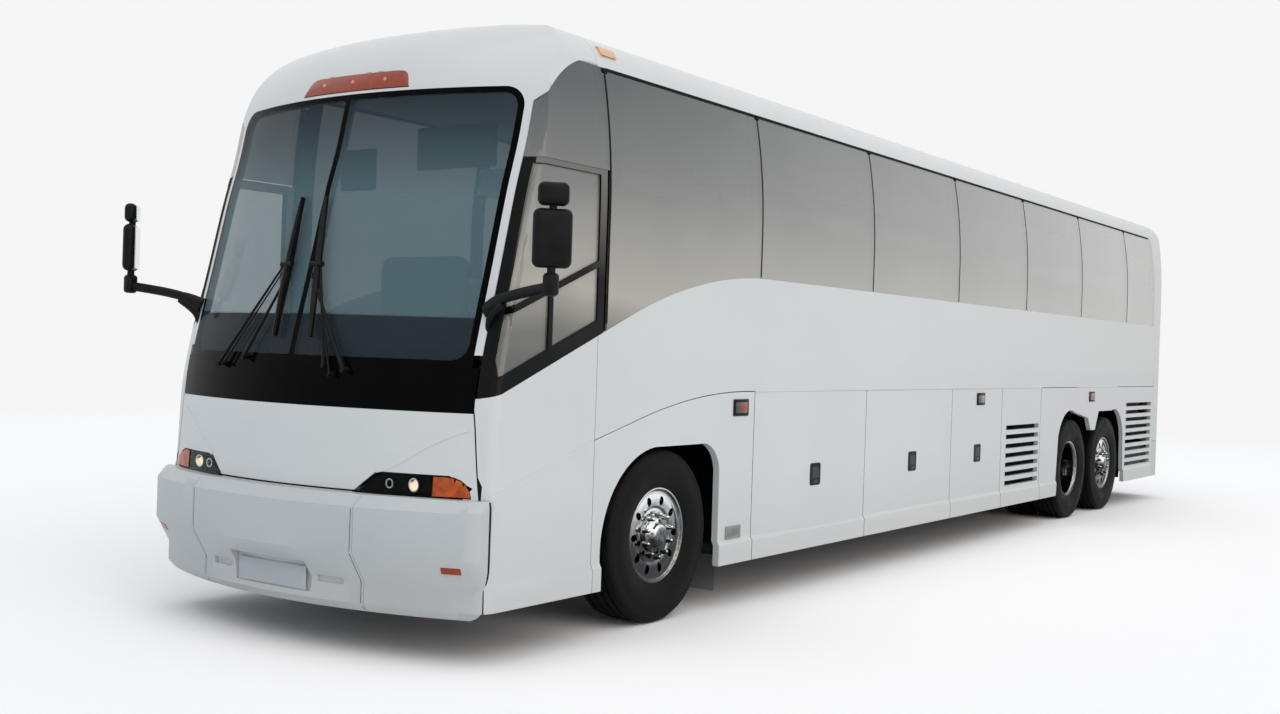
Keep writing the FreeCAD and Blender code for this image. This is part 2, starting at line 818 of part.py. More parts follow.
def chin_face(depth):
    """Upright block whose bowed front lies behind the bumper's chin by a depth."""
    face = Part.Face(plan_wire(0, float(FRONT + s.bumper_proud * 0.8 + depth), 0.0, HALF))
    return face.extrude(V(0, 0, s.bumper_top))


hollows = [slab(x_low=-s.plate_half_width, x_high=s.plate_half_width, z_low=s.plate_pocket_bottom,
                z_high=s.plate_pocket_top)]
for side in BOTH_SIDES:
    ends = sorted((side * s.notch_start, side * s.notch_end))
    hollows.append(slab(x_low=ends[0], x_high=ends[1], z_low=s.notch_bottom, z_high=s.notch_top))
for hollow in hollows:
    bumper = bumper.cut(hollow.common(slab(y_high=MASK)).cut(chin_face(s.plate_pocket_depth)))
split = s.bumper_split
piece("front_bumper", bumper.common(slab(x_low=-split + s.seam, x_high=split - s.seam)),
      *[bumper.common(half(side, split)) for side in BOTH_SIDES])
beam_zone = slab(y_high=MASK - s.seam, z_low=s.rail_bottom, z_high=s.rail_bottom + s.rail_height)
BUMPER_BEAM = bumper_form(s.bumper_wall + s.seat_gap).cut(bumper_form(s.bumper_wall + s.rail_width)).common(beam_zone)

# Side panels, the same on both sides: long panel under the glass, arch panels, hinged doors.
PANEL_FRONT = CAP - s.seam * 5


def slotted(panel, start, end, low, high):
    """Cut level louvre slots through a panel."""
    for index in range(int((high - low) / s.slat_pitch)):
        z = low + index * s.slat_pitch
        panel = panel.cut(slab(start, end, z, z + s.slat_opening))
    return panel


def skirt_panel(side, start, end):
    """Flat wall between two seams, from the skirt's lower edge up to the waist line."""
    zone = half(side, s.screen_half_width).common(slab(start, end, s.skirt_bottom))
    return shell(zone).cut(UNDER_WAIST)


def hinge_bead(side, radius, start, end):
    """Long hinge under the waist panel, from which the side doors hang."""
    return Part.makeCylinder(radius, end - start, V(side * SIDE, start, s.waist_height), V(0, 1, 0))


long_panels, arch_panels, quarters = [], [], []
for name, side in SIDES.items():
    upper = shell(half(side, s.screen_half_width).common(slab(PANEL_FRONT, REAR_MASK - s.seam)))
    long_panels.append(upper.common(OVER_WAIST).cut(UNDER_BELT).fuse(
        hinge_bead(side, s.hinge_radius, BAY_START, REAR_ARCH_START)))
    arch_panels.append(skirt_panel(side, PANEL_FRONT, BAY_START - s.seam).cut(arch_front()))
    quarter = skirt_panel(side, REAR_ARCH_START + s.seam, REAR_MASK - s.seam).cut(arch_rear())
    quarters.append(slotted(quarter, REAR_ARCH_END + s.wall, REAR_MASK - 2 * s.wall, s.grille_bottom, s.grille_top))
    groove = hinge_bead(side, s.hinge_radius + s.seat_gap, BAY_START, REAR_ARCH_START)
    for number, (start, end) in enumerate(BAYS, start=1):
        piece(f"luggage_door_{name}_{number}",
              skirt_panel(side, start + s.door_gap / 2, end - s.door_gap / 2).cut(groove))
    louvred = skirt_panel(side, LOUVRE_START + s.door_gap / 2, REAR_ARCH_START - s.door_gap / 2).cut(groove)
    piece(f"louvred_door_{name}", slotted(louvred, LOUVRE_START + 3 * s.wall, REAR_ARCH_START - s.wall,
                                          s.louvre_bottom, s.louvre_top))
piece("side_panels", *long_panels)
piece("front_arch_panels", *arch_panels)
piece("rear_quarter_panels", *quarters)

# Driver side front panel, and the frame round the entrance door on the other side.
FRONT_SIDE = slab(MASK, PANEL_FRONT - s.seam, s.skirt_bottom)
driver_side = shell(half(1, s.panel_half_width + s.seam).common(FRONT_SIDE)).cut(UNDER_BELT)
ENTRANCE_FRONT = FRONT_AXLE + s.entrance_front
ENTRANCE_REAR = CAP - s.pillar_width / 2


def entrance_zone(inset):
    """Outline of the entrance door: upright front edge below, the screen pillar's curve above."""
    zone = slab(ENTRANCE_FRONT + inset, ENTRANCE_REAR - inset, s.entrance_bottom + inset, s.driver_window_top - inset)
    upper = zone.common(window_arch(inset)).common(half(-1, STRIP + inset))
    return zone.common(slab(z_high=s.panel_bottom + s.wall)).common(half(-1, s.screen_half_width)).fuse(upper)


def entrance_hinge(radius):
    foot = V(-SIDE, ENTRANCE_FRONT + s.door_gap / 2, s.entrance_bottom + s.door_gap)
    return Part.makeCylinder(radius, s.panel_bottom - foot.z, foot)


surround = shell(half(-1, s.panel_half_width + s.seam).common(FRONT_SIDE).common(slab(z_high=s.panel_bottom)))
strip = shell(behind_pillar(-1, s.seam).common(slab(y_high=ENTRANCE_FRONT, z_low=s.panel_bottom)))
surround = surround.fuse(strip).cut(entrance_zone(0)).fuse(entrance_hinge(s.hinge_radius))
piece("front_side_panels", driver_side, surround)
door = shell(entrance_zone(s.door_gap)).cut(entrance_hinge(s.hinge_radius + s.seat_gap))
door_glass_zone = window_arch(s.driver_frame + s.door_gap).common(half(-1, STRIP + s.driver_frame)).common(
    slab(ENTRANCE_FRONT + s.driver_frame, ENTRANCE_REAR - s.driver_frame, s.screen_bottom,
         s.driver_window_top - s.driver_frame))
piece("entrance_door", door.cut(door_glass_zone))
piece("entrance_door_glass", shell(door_glass_zone, FRAME_OUTER, body_form(2 * s.glass)))

# Side glazing: bonded panes between slim posts, and the framed driver window.
SEAMS = [CAP + s.window_shift + index * s.window_pitch for index in range(7)]
DRIVER_REAR = SEAMS[0] - s.window_shift / 2
BAR_RISE = s.driver_bar_rise
driver_zone = behind_pillar(1, s.seam).common(slab(y_high=DRIVER_REAR, z_high=s.driver_window_top))
opening_zone = behind_pillar(1, s.driver_frame).common(slab(
    y_high=DRIVER_REAR - s.driver_frame, z_high=s.driver_window_top - s.driver_frame / 2))
lower_opening = opening_zone.common(belt(s.driver_frame * 1.5)).cut(belt(BAR_RISE))
bar_y = FRONT_AXLE + s.driver_bar_station
openings = [
    opening_zone.common(belt(BAR_RISE + s.gasket)),
    lower_opening.common(slab(y_high=bar_y - s.gasket / 2)),
    lower_opening.common(slab(y_low=bar_y + s.gasket / 2)),
]
window = shell(driver_zone.common(OVER_BELT))
for opening in openings:
    window = window.cut(opening)
piece("driver_window_frame", window)
driver_panes = [shell(opening, FRAME_OUTER, body_form(2 * s.glass)) for opening in openings]

posts = []
side_panes = list(driver_panes)
MASK_EDGE = slab(y_high=CAP + s.seam, x_low=-STRIP - s.seam, x_high=STRIP + s.seam)
for side in BOTH_SIDES:
    zone = behind_pillar(side, s.seam).common(OVER_BELT)
    pane_zones = [zone.common(slab(y_high=SEAMS[0] - s.seam, z_low=s.driver_window_top + s.seam))]
    for start, end in zip(SEAMS, SEAMS[1:] + [WINDOW_END]):
        pane_zones.append(zone.common(slab(start + s.seam, end - s.seam)))
    side_panes += [shell(pane, OUTER, GLASS_INNER) for pane in pane_zones]
    band = OVER_BELT.common(half(side, s.screen_half_width / 2)).common(slab(z_high=s.cove_height))
    edges = [(seam - s.pillar_width / 2, seam + s.pillar_width / 2) for seam in SEAMS[1:]]
    edges.append((WINDOW_END - s.pillar_width, WINDOW_END + s.seam - s.seat_gap))
    cab_end = DRIVER_REAR if side > 0 else ENTRANCE_REAR
    edges.append((cab_end + s.door_gap, SEAMS[0] + s.pillar_width / 2))
    posts += [shell(band.common(slab(low, high)), FRAME_OUTER, FRAME_INNER).cut(MASK_EDGE) for low, high in edges]
piece("side_glass", *side_panes)
piece("window_posts", *posts)

# Rear mask with its window, lamps, engine door and bumper.
REAR_ZONE = slab(y_low=REAR_MASK, z_low=s.rear_bumper_top + s.seam)
REAR_CORNER = slab(y_low=WINDOW_END + s.seam, z_high=s.cove_height - s.seat_gap).common(OVER_BELT)


def rear_box(half_width, low, high, radius):
    outline = rounded(-half_width, half_width, low, high, radius)
    return along(outline, REAR_MASK, FAR)


def engine_door_zone(inset, head_room=0):
    return slab(y_low=REAR_MASK, z_low=s.engine_door_bottom + inset, z_high=s.engine_door_top - inset + head_room,
                x_low=-s.engine_door_half + inset, x_high=s.engine_door_half - inset)


def engine_hinge(radius):
    """Hinge barrel over the middle of the engine door."""
    foot = V(-s.engine_hinge_half, -FRONT - s.engine_door_recess, s.engine_door_top - s.seam)
    return Part.makeCylinder(radius, 2 * s.engine_hinge_half, foot, V(1, 0, 0))


def tail_lamp_zone(side, index, inset):
    z = s.tail_lamp_bottom + index * (2 * s.tail_lamp_radius + s.wall)
    base = V(side * s.tail_lamp_half, REAR_MASK, z)
    return Part.makeCylinder(s.tail_lamp_radius - inset, FAR, base, V(0, 1, 0))


rear_mask = shell(REAR_ZONE.fuse(REAR_CORNER)).cut(engine_door_zone(0, s.seam))
rear_mask = rear_mask.fuse(engine_hinge(s.engine_hinge_radius))
rear_window_zone = rear_box(s.rear_window_half, s.rear_window_bottom, s.rear_window_top, s.screen_edge_radius)
rear_glass_zone = rear_box(s.rear_window_half - s.seat_gap, s.rear_window_bottom + s.seat_gap,
                           s.rear_window_top - s.seat_gap, s.screen_edge_radius)
rear_mask = rear_mask.cut(rear_window_zone)
tail_lamps = []
for side in BOTH_SIDES:
    for index in range(3):
        rear_mask = rear_mask.cut(tail_lamp_zone(side, index, 0))
        tail_lamps.append(shell(tail_lamp_zone(side, index, s.seat_gap)))
piece("rear_mask", rear_mask)
piece("rear_window_pane", shell(rear_glass_zone, OUTER, GLASS_INNER))
side_lamps = []
for side in BOTH_SIDES:
    for station, z, half_height in ((s.marker_front, s.marker_height, s.marker_half_height),
                                    (s.marker_rear, s.marker_height, s.marker_half_height),
                                    (s.docking_station, s.docking_height, s.docking_half_height)):
        y = FRONT_AXLE + station
        zone = half(side, s.screen_half_width).common(
            slab(y - s.marker_half_length, y + s.marker_half_length, z - half_height, z + half_height))
        side_lamps.append(shell(zone, PROUD, body_form(-s.seat_gap)))
    y = FRONT_AXLE + s.roof_marker_station
    zone = half(side, s.screen_half_width / 2).common(
        slab(y - s.roof_marker_half_length, y + s.roof_marker_half_length, s.roof_marker_bottom,
             s.roof_marker_bottom + s.roof_marker_height))
    side_lamps.append(shell(zone, PROUD, body_form(-s.seat_gap)))
piece("body_lamps", roof_lamp, *tail_lamps, *side_lamps)
engine_door = shell(engine_door_zone(s.door_gap), body_form(s.engine_door_recess))
engine_door = engine_door.cut(engine_hinge(s.engine_hinge_radius + s.seat_gap))
louvre_half = s.engine_door_half - 3 * s.wall
for index in range(8):
    z = s.engine_door_top - s.engine_door_half / 2 - index * s.slat_pitch
    engine_door = engine_door.cut(slab(y_low=REAR_MASK, z_low=z, z_high=z + s.slat_opening,
                                       x_low=-louvre_half, x_high=louvre_half))
piece("engine_door", engine_door)
piece("rear_bumper", shell(slab(y_low=REAR_MASK, z_low=s.skirt_bottom, z_high=s.rear_bumper_top), OUTER,
                           body_form(s.bumper_wall)))

# Floors, bulkheads, wheel houses and frame.
DECK_BOTTOM = s.deck_top - s.deck_thickness
deck = block("deck_plate", -FLOOR_HALF, CAP, DECK_BOTTOM, 2 * FLOOR_HALF, REAR_MASK + 2 * s.wall - CAP,
             s.deck_thickness)
keep(deck, "floor_deck")
BAY_HALF = FLOOR_HALF - s.door_gap - 2 * s.seam
BAY_FLOOR_TOP = s.bay_floor_bottom + s.plate
bay_floor = block("bay_floor_plate", -BAY_HALF, BAY_START, s.bay_floor_bottom, 2 * BAY_HALF,
                  REAR_ARCH_START - BAY_START, s.plate)
bay_parts = [bay_floor]
for index, y in enumerate([BAY_START] + [end - s.plate / 2 for _, end in BAYS] + [REAR_ARCH_START - s.plate]):
    bay_parts.append(block(f"bulkhead_{index + 1}", -BAY_HALF, y, BAY_FLOOR_TOP, 2 * BAY_HALF, s.plate,
                           DECK_BOTTOM - BAY_FLOOR_TOP))
fused("luggage_bays", bay_parts)
HOUSE_INNER = s.rail_inner + s.rail_width + s.seat_gap


def wheel_house(name, side, start, end, top):
    """Sheet box over a wheel: top, inner wall and end walls, open below and outwards."""
    low_x = HOUSE_INNER if side > 0 else -FLOOR_HALF
    width = FLOOR_HALF - HOUSE_INNER
    outer = block(f"{name}_skin", low_x, start, s.bay_floor_bottom, width, end - start, top - s.bay_floor_bottom)
    wall = s.wheelhouse_wall
    room = block(f"{name}_room", low_x + wall if side > 0 else low_x - wall, start + wall,
                 s.bay_floor_bottom - wall, width, end - start - 2 * wall, top - s.bay_floor_bottom)
    axle_gap = block(f"{name}_axle_gap", low_x - wall if side > 0 else low_x + wall, start + wall,
                     s.bay_floor_bottom - wall, width, end - start - 2 * wall,
                     s.rail_bottom - s.bay_floor_bottom + wall)
    space = doc.addObject("Part::MultiFuse", f"{name}_space")
    space.Shapes = [room, axle_gap]
    house = doc.addObject("Part::Cut", name)
    house.Base = outer
    house.Tool = space
    return house


houses = []
REAR_HOUSE_END = TAG_AXLE + s.wheelhouse_half_length - 3 * s.wall
for place, start, end, top in (
    ("front", FRONT_AXLE - s.wheelhouse_half_length, FRONT_AXLE + s.wheelhouse_half_length,
     s.arch_top + 3 * s.wheelhouse_wall),
    ("rear", DRIVE_AXLE - s.wheelhouse_half_length - s.wall, REAR_HOUSE_END, s.rear_arch_top + 3 * s.wheelhouse_wall),
):
    for name, side in SIDES.items():
        houses.append(wheel_house(f"wheel_house_{place}_{name}", side, start, end, top))
group("wheel_houses", houses)

front_rails = [
    block(f"front_rail_{name}", s.rail_inner if side > 0 else -s.rail_inner - s.rail_width, MASK - 2 * s.wall,
          s.rail_bottom, s.rail_width, BAY_START - MASK + 2 * s.wall, s.rail_height)
    for name, side in SIDES.items()
]
beam = doc.addObject("Part::Feature", "bumper_beam")
beam.Shape = BUMPER_BEAM
rear_rails = [
    block(f"rear_rail_{name}", s.rail_inner if side > 0 else -s.rail_inner - s.rail_width, REAR_ARCH_START,
          s.rail_bottom, s.rail_width, -FRONT - s.bumper_wall - s.rail_width - REAR_ARCH_START, s.rail_height)
    for name, side in SIDES.items()
]
CROSS_OUTER = s.rail_inner + s.rail_width + s.seat_gap
CROSS_INNER = s.rail_inner - s.seat_gap
rear_crosses = [
    block(f"rear_cross_{name}", low, REAR_HOUSE_END + s.seat_gap, s.rail_bottom, length, s.rail_width, s.rail_height)
    for name, low, length in (("middle", -CROSS_INNER, 2 * CROSS_INNER), ("left", CROSS_OUTER, FLOOR_HALF - CROSS_OUTER),
                              ("right", -FLOOR_HALF, FLOOR_HALF - CROSS_OUTER))
]
rear_beam = doc.addObject("Part::Feature", "rear_beam")
beam_zone = slab(y_low=REAR_MASK + 2 * s.wall, z_low=s.rail_bottom, z_high=s.rear_bumper_top)
rear_beam.Shape = shell(beam_zone, body_form(s.bumper_wall + s.seat_gap), body_form(s.bumper_wall + 2 * s.rail_width))
front_blank = doc.addObject("Part::MultiFuse", "front_frame_blank")
front_blank.Shapes = front_rails + [beam]
tow_bores = doc.addObject("Part::MultiFuse", "tow_bores")
tow_bores.Shapes = [
    rod(f"tow_bore_{name}", side * (s.rail_inner + s.rail_width / 2), MASK - s.wall, s.rail_bottom - s.wall,
        s.tow_bore_radius, s.rail_height + 2 * s.wall)
    for name, side in SIDES.items()
]
front_frame = doc.addObject("Part::Cut", "front_frame")
front_frame.Base = front_blank
front_frame.Tool = tow_bores
rear_frame = doc.addObject("Part::MultiFuse", "rear_frame")
rear_frame.Shapes = rear_rails + [rear_beam]
group("chassis_frame", [front_frame, rear_frame] + rear_crosses)
ENGINE_HALF = s.rail_inner - s.seat_gap
keep(block("engine_mass", -ENGINE_HALF, FRONT_AXLE + s.engine_start, s.engine_bottom, 2 * ENGINE_HALF,
           s.engine_length, s.engine_height), "engine_block")

# Cab floor with the entrance steps, dashboard, steering wheel and seats.
CAB_REAR = FRONT_AXLE - s.wheelhouse_half_length
cab_zone = slab(MASK + s.seam, CAB_REAR, z_low=s.cab_floor_top - s.plate, z_high=s.cab_floor_top, x_low=-HOUSE_INNER)
cab_floor = doc.addObject("Part::Feature", "cab_floor_plate")
cab_floor.Shape = INSIDE.common(cab_zone)
steps = [cab_floor]
step_count = 3
tread_rise = (s.cab_floor_top - s.entrance_bottom) / step_count
first_edge = -FLOOR_HALF + 2 * s.door_gap
tread_depth = (-HOUSE_INNER - first_edge) / step_count
steps.append(block("sill_plate", -FLOOR_HALF, ENTRANCE_FRONT, s.entrance_bottom - s.plate, FLOOR_HALF - HOUSE_INNER,
                   CAB_REAR - ENTRANCE_FRONT, s.plate))
for index in range(step_count):
    steps.append(block(
        f"step_{index + 1}", first_edge + index * tread_depth, ENTRANCE_FRONT, s.entrance_bottom - s.plate,
        tread_depth, CAB_REAR - ENTRANCE_FRONT, s.plate + (index + 0.4) * tread_rise))
steps.append(block("aisle_step", -s.stair_half, CAB_REAR - s.stair_half / 2, s.cab_floor_top, 2 * s.stair_half,
                   s.stair_half / 2, (s.deck_top - s.cab_floor_top) / 2))
fused("cab_floor", steps)
dash_zone = slab(y_high=MASK + s.dash_reach, z_low=s.panel_bottom, z_high=s.screen_bottom - s.wall / 2)
piece("dashboard", INSIDE.common(dash_zone).cut(slab(y_low=MASK - s.wall, x_high=-s.stair_half)))


def bar(start, end, radius):
    """Round bar between two points."""
    return Part.makeCylinder(float(radius), (end - start).Length, start, end - start)


def square_bar(start, end, half_width):
    """Square bar between two points."""
    size = 2 * float(half_width)
    form = Part.makeBox(size, size, (end - start).Length, V(-size / 2, -size / 2, 0))
    form.Placement = FreeCAD.Placement(start, FreeCAD.Rotation(V(0, 0, 1), end - start))
    return form


seat_x = s.driver_seat_x
wheel_centre = V(seat_x, MASK + s.dash_reach + 2 * s.wall, s.screen_bottom + s.wall / 2)
column_dir = V(0, -math.sin(math.radians(s.column_lean)), -math.cos(math.radians(s.column_lean)))
RIM_SIDES = 6
grip = [V(s.steering_radius + s.steering_grip * math.cos(2 * math.pi * index / RIM_SIDES), 0,
          s.steering_grip * math.sin(2 * math.pi * index / RIM_SIDES)) for index in range(RIM_SIDES)]
rim = Part.Face(path(grip[0], *grip[1:], grip[0])).revolve(V(0, 0, 0), V(0, 0, 1), 360)
rim.Placement = FreeCAD.Placement(wheel_centre, FreeCAD.Rotation(V(0, 0, 1), column_dir))
column = bar(wheel_centre, wheel_centre + column_dir * float(s.steering_radius), s.wall)
spoke = bar(wheel_centre - V(float(s.steering_radius), 0, 0), wheel_centre + V(float(s.steering_radius), 0, 0),
            s.steering_grip)
piece("steering_wheel", rim.fuse([column, spoke]).cut(body_form(0).common(dash_zone)))


def seat_solid(x_low, width, front, floor, profile_depth, seat_top, back_top):
    """One bench: cushion on its box, back leaning to the rear, drawn across its width."""
    lean = (back_top - seat_top) / 5
    thick = profile_depth / 4
    wire = path(
        side_point(front, floor), side_point(front + profile_depth, floor),
        side_point(front + profile_depth + thick, seat_top - thick),
        side_point(front + profile_depth + lean + thick, back_top - thick / 2),
        side_point(front + profile_depth + lean, back_top), side_point(front + profile_depth + lean / 2, back_top),
        side_point(front + profile_depth - thick / 4, seat_top), side_point(front, seat_top),
        side_point(front, floor),
    )
    face = Part.Face(wire)
    face.translate(V(float(x_low), 0, 0))
    return face.extrude(V(float(width), 0, 0))


piece("driver_seat", seat_solid(
    seat_x - s.seat_width / 4, s.seat_width / 2, MASK + s.dash_reach + 4 * s.wall, s.cab_floor_top,
    s.driver_seat_depth, s.cab_floor_top + s.seat_height, s.cab_floor_top + s.seat_back_height))
benches = []
for side in BOTH_SIDES:
    x_low = FLOOR_HALF - s.wall - s.seat_width if side > 0 else -FLOOR_HALF + s.wall
    for row in range(int(s.seat_rows)):
        benches.append(seat_solid(x_low, s.seat_width, FRONT_AXLE + s.seat_first + row * s.seat_pitch, s.deck_top,
                                  s.seat_depth, s.deck_top + s.seat_height, s.deck_top + s.seat_back_height))
piece("passenger_seats", *benches)
RACK_INSIDE = body_form(s.pillar_depth + s.seat_gap)
rack_zone = slab(CAP + s.window_pitch, WINDOW_END - s.pillar_width, s.rack_bottom, s.rack_bottom + s.rack_height)
piece("luggage_racks", *[RACK_INSIDE.common(rack_zone).common(half(side, s.rack_inner)) for side in BOTH_SIDES])

# Outside mirrors on their arms, and the parked wipers.
def mirrored(shape):
    return shape.mirror(V(0, 0, 0), V(1, 0, 0))


def head(low, high, width):
    """Rounded mirror shell, turned so that its glass looks back and inwards."""
    thick = s.mirror_thickness
    box = Part.makeBox(width, thick, high - low, V(-width / 2, -thick / 2, 0))
    upright = [edge for edge in box.Edges if edge.BoundBox.ZLength > 1]
    shape = box.makeFillet(thick / 2.5, upright)
    shape.rotate(V(0, 0, 0), V(0, 0, 1), 45)
    shape.translate(V(float(s.mirror_x), float(FRONT_AXLE + s.mirror_station), float(low)))
    return shape


mirror_end = V(s.mirror_x, FRONT_AXLE + s.mirror_station, s.mirror_arm_height)
foot_zone = slab(z_low=s.mirror_foot_bottom, z_high=s.mirror_foot_top, y_high=SCREEN_BACK,
                 x_low=s.screen_half_width + s.seam, x_high=STRIP + s.seam)
foot = shell(foot_zone, body_form(-s.mirror_foot_depth), body_form(-s.seat_gap))
foot_box = foot.BoundBox
arm_start = V(foot_box.Center.x, foot_box.Center.y - s.mirror_foot_depth / 4, foot_box.Center.z)
mirror = foot.fuse([
    bar(arm_start, mirror_end, s.mirror_arm_radius).cut(body_form(-s.seat_gap)),
    bar(mirror_end - V(0, 0, float(s.wall)), mirror_end + V(0, 0, s.mirror_head_top - s.mirror_arm_height),
        s.mirror_arm_radius),
    head(s.mirror_arm_height + 2 * s.wall, s.mirror_head_split - s.seam, s.mirror_width),
    head(s.mirror_head_split + s.seam, s.mirror_head_top, s.mirror_width * 0.8),
])
piece("mirrors", mirror, mirrored(mirror))


def screen_point(x, z, off):
    """Point in front of the windshield, a distance off its outer face."""
    lean = math.tan(math.radians(s.screen_lean))
    y = FRONT + s.screen_foot_setback + (z - s.screen_foot_height) * lean
    bow = s.front_radius - math.sqrt(s.front_radius ** 2 - x ** 2)
    return V(x, y + bow - off, z)


def wiper(top_x, low_x, foot_x):
    """Parked wiper: upright blade, bracket at its middle and two parallel rods down to their pivots."""
    off = s.wiper_off
    top = screen_point(top_x, s.wiper_top, off)
    low = screen_point(low_x, s.wiper_low, off)
    middle = screen_point((top_x + low_x) / 2, (s.wiper_top + s.wiper_low) / 2, off)
    parts = []
    for index, x in enumerate(foot_x):
        pivot = screen_point(x, s.wiper_foot, off)
        hang = middle + V(0, 0, (index - 0.5) * s.wall)
        parts.append(square_bar(pivot, hang, s.wiper_rod))
        parts.append(square_bar(pivot - V(0, float(s.wiper_rod), 0), pivot + V(0, 2.0 * off, 0), 2 * s.wiper_rod))
    blade = square_bar(low, top, s.wiper_rod * 1.3)
    return blade.fuse(parts).cut(body_form(-s.seat_gap))


piece("wipers", wiper(-205, -172, (-656, -414)), wiper(31, 152, (330, 430)))


# Running gear: turned wheels and tyres, axles, steering knuckles.
def origin_feature(body, role):
    return next(feature for feature in body.Origin.OriginFeatures if feature.Role == role)


def outline_sketch(body, name, role, corners):
    """Closed outline on one of the body's own planes, every corner bound to the sheet."""
    sketch = body.newObject("Sketcher::SketchObject", name)
    sketch.AttachmentSupport = [(origin_feature(body, role), "")]
    sketch.MapMode = "FlatFace"
    count = len(corners)
    for index, (x, y) in enumerate(corners):
        next_x, next_y = corners[(index + 1) % count]
        sketch.addGeometry(Part.LineSegment(V(x, y, 0), V(next_x, next_y, 0)), False)
    for index in range(count):
        sketch.addConstraint(Sketcher.Constraint("Coincident", index, 2, (index + 1) % count, 1))
    for index, (x, y) in enumerate(corners):
        for kind, axis, value in (("DistanceX", -2, x), ("DistanceY", -1, y)):
            if float(value) == 0:
                sketch.addConstraint(Sketcher.Constraint("PointOnObject", index, 1, axis))
            else:
                number = sketch.addConstraint(Sketcher.Constraint(kind, -1, 1, index, 1, float(value)))
                sketch.setExpression(f"Constraints[{number}]", formula(value))
    return sketch


def turned(node, corners, side, x, y):
    """Body of revolution about the axle, its outer face to the outside of the bus."""
    body = doc.addObject("PartDesign::Body", node)
    sketch = outline_sketch(body, f"{node}_section", "XY_Plane", corners)
    revolution = body.newObject("PartDesign::Revolution", f"{node}_turned")
    revolution.Profile = sketch
    revolution.ReferenceAxis = (sketch, ["H_Axis"])
    sketch.Visibility = False
    if side < 0:
        body.Placement.Rotation = FreeCAD.Rotation(V(0, 0, 1), 180)
    for prop, value in (("x", x), ("y", y), ("z", s.tyre_radius)):
        body.setExpression(f"Placement.Base.{prop}", formula(value))
    return keep(body, node)


def hand_holes(body):
    """Ring of hand holes through the wheel disc."""
    node = body.Label
    corner_count = 8
    corners = []
    for index in range(corner_count):
        angle = 2 * math.pi * (index + 0.5) / corner_count
        corners.append((s.hand_hole_circle + s.hand_hole_radius * math.cos(angle),
                        s.hand_hole_radius * math.sin(angle)))
    sketch = outline_sketch(body, f"{node}_hole_outline", "YZ_Plane", corners)
    pocket = body.newObject("PartDesign::Pocket", f"{node}_hole")
    pocket.Profile = sketch
    pocket.Type = "ThroughAll"
    pocket.Midplane = True
    pattern = body.newObject("PartDesign::PolarPattern", f"{node}_holes")
    pattern.Originals = [pocket]
    pattern.Axis = (origin_feature(body, "X_Axis"), [""])
    pattern.Angle = 360
    pattern.Occurrences = int(s.hand_holes)
    body.Tip = pattern
    doc.recompute()


def tyre_corners(middle):
    low, high = middle - s.tyre_width / 2, middle + s.tyre_width / 2
    bore = s.rim_radius + s.seat_gap
    return [(low, s.tyre_radius), (high, s.tyre_radius), (high, bore), (low, bore)]


def wheel_corners(rim_low, rim_high, disc):
    """Rim barrel with its disc and hub, as one half section."""
    barrel = s.rim_radius - s.disc_thickness
    face = disc + s.disc_thickness
    nose_x = face + s.hub_proud
    return [(rim_low, s.rim_radius), (rim_high, s.rim_radius), (rim_high, barrel), (face, barrel),
            (face, s.hub_radius), (nose_x, s.hub_radius), (nose_x, 0 * s.hub_radius), (disc, 0 * s.hub_radius),
            (disc, barrel), (rim_low, barrel)]


RIM_HALF = s.rim_width / 2
TWIN_HALF = s.twin_spacing / 2
DRIVE_MIDDLE = s.tag_track_half - TWIN_HALF
for name, side in SIDES.items():
    for place, track, y in (("front", s.front_track_half, FRONT_AXLE), ("tag", s.tag_track_half, TAG_AXLE)):
        turned(f"tyre_{place}_{name}", tyre_corners(0 * s.tyre_width), side, side * track, y)
        wheel = turned(f"wheel_{place}_{name}", wheel_corners(-RIM_HALF, RIM_HALF, s.steer_disc_offset), side,
                       side * track, y)
        hand_holes(wheel)
    twin = []
    for index, middle in enumerate((-TWIN_HALF, TWIN_HALF)):
        body = turned(f"twin_{name}_{index + 1}", tyre_corners(middle), side, side * DRIVE_MIDDLE, DRIVE_AXLE)
        NODES.remove(body)
        twin.append(body)
    group(f"tyres_drive_{name}", twin)
    wheel = turned(f"wheel_drive_{name}", wheel_corners(-TWIN_HALF - RIM_HALF, TWIN_HALF + RIM_HALF,
                                                        0 * s.twin_spacing), side, side * DRIVE_MIDDLE, DRIVE_AXLE)
    hand_holes(wheel)

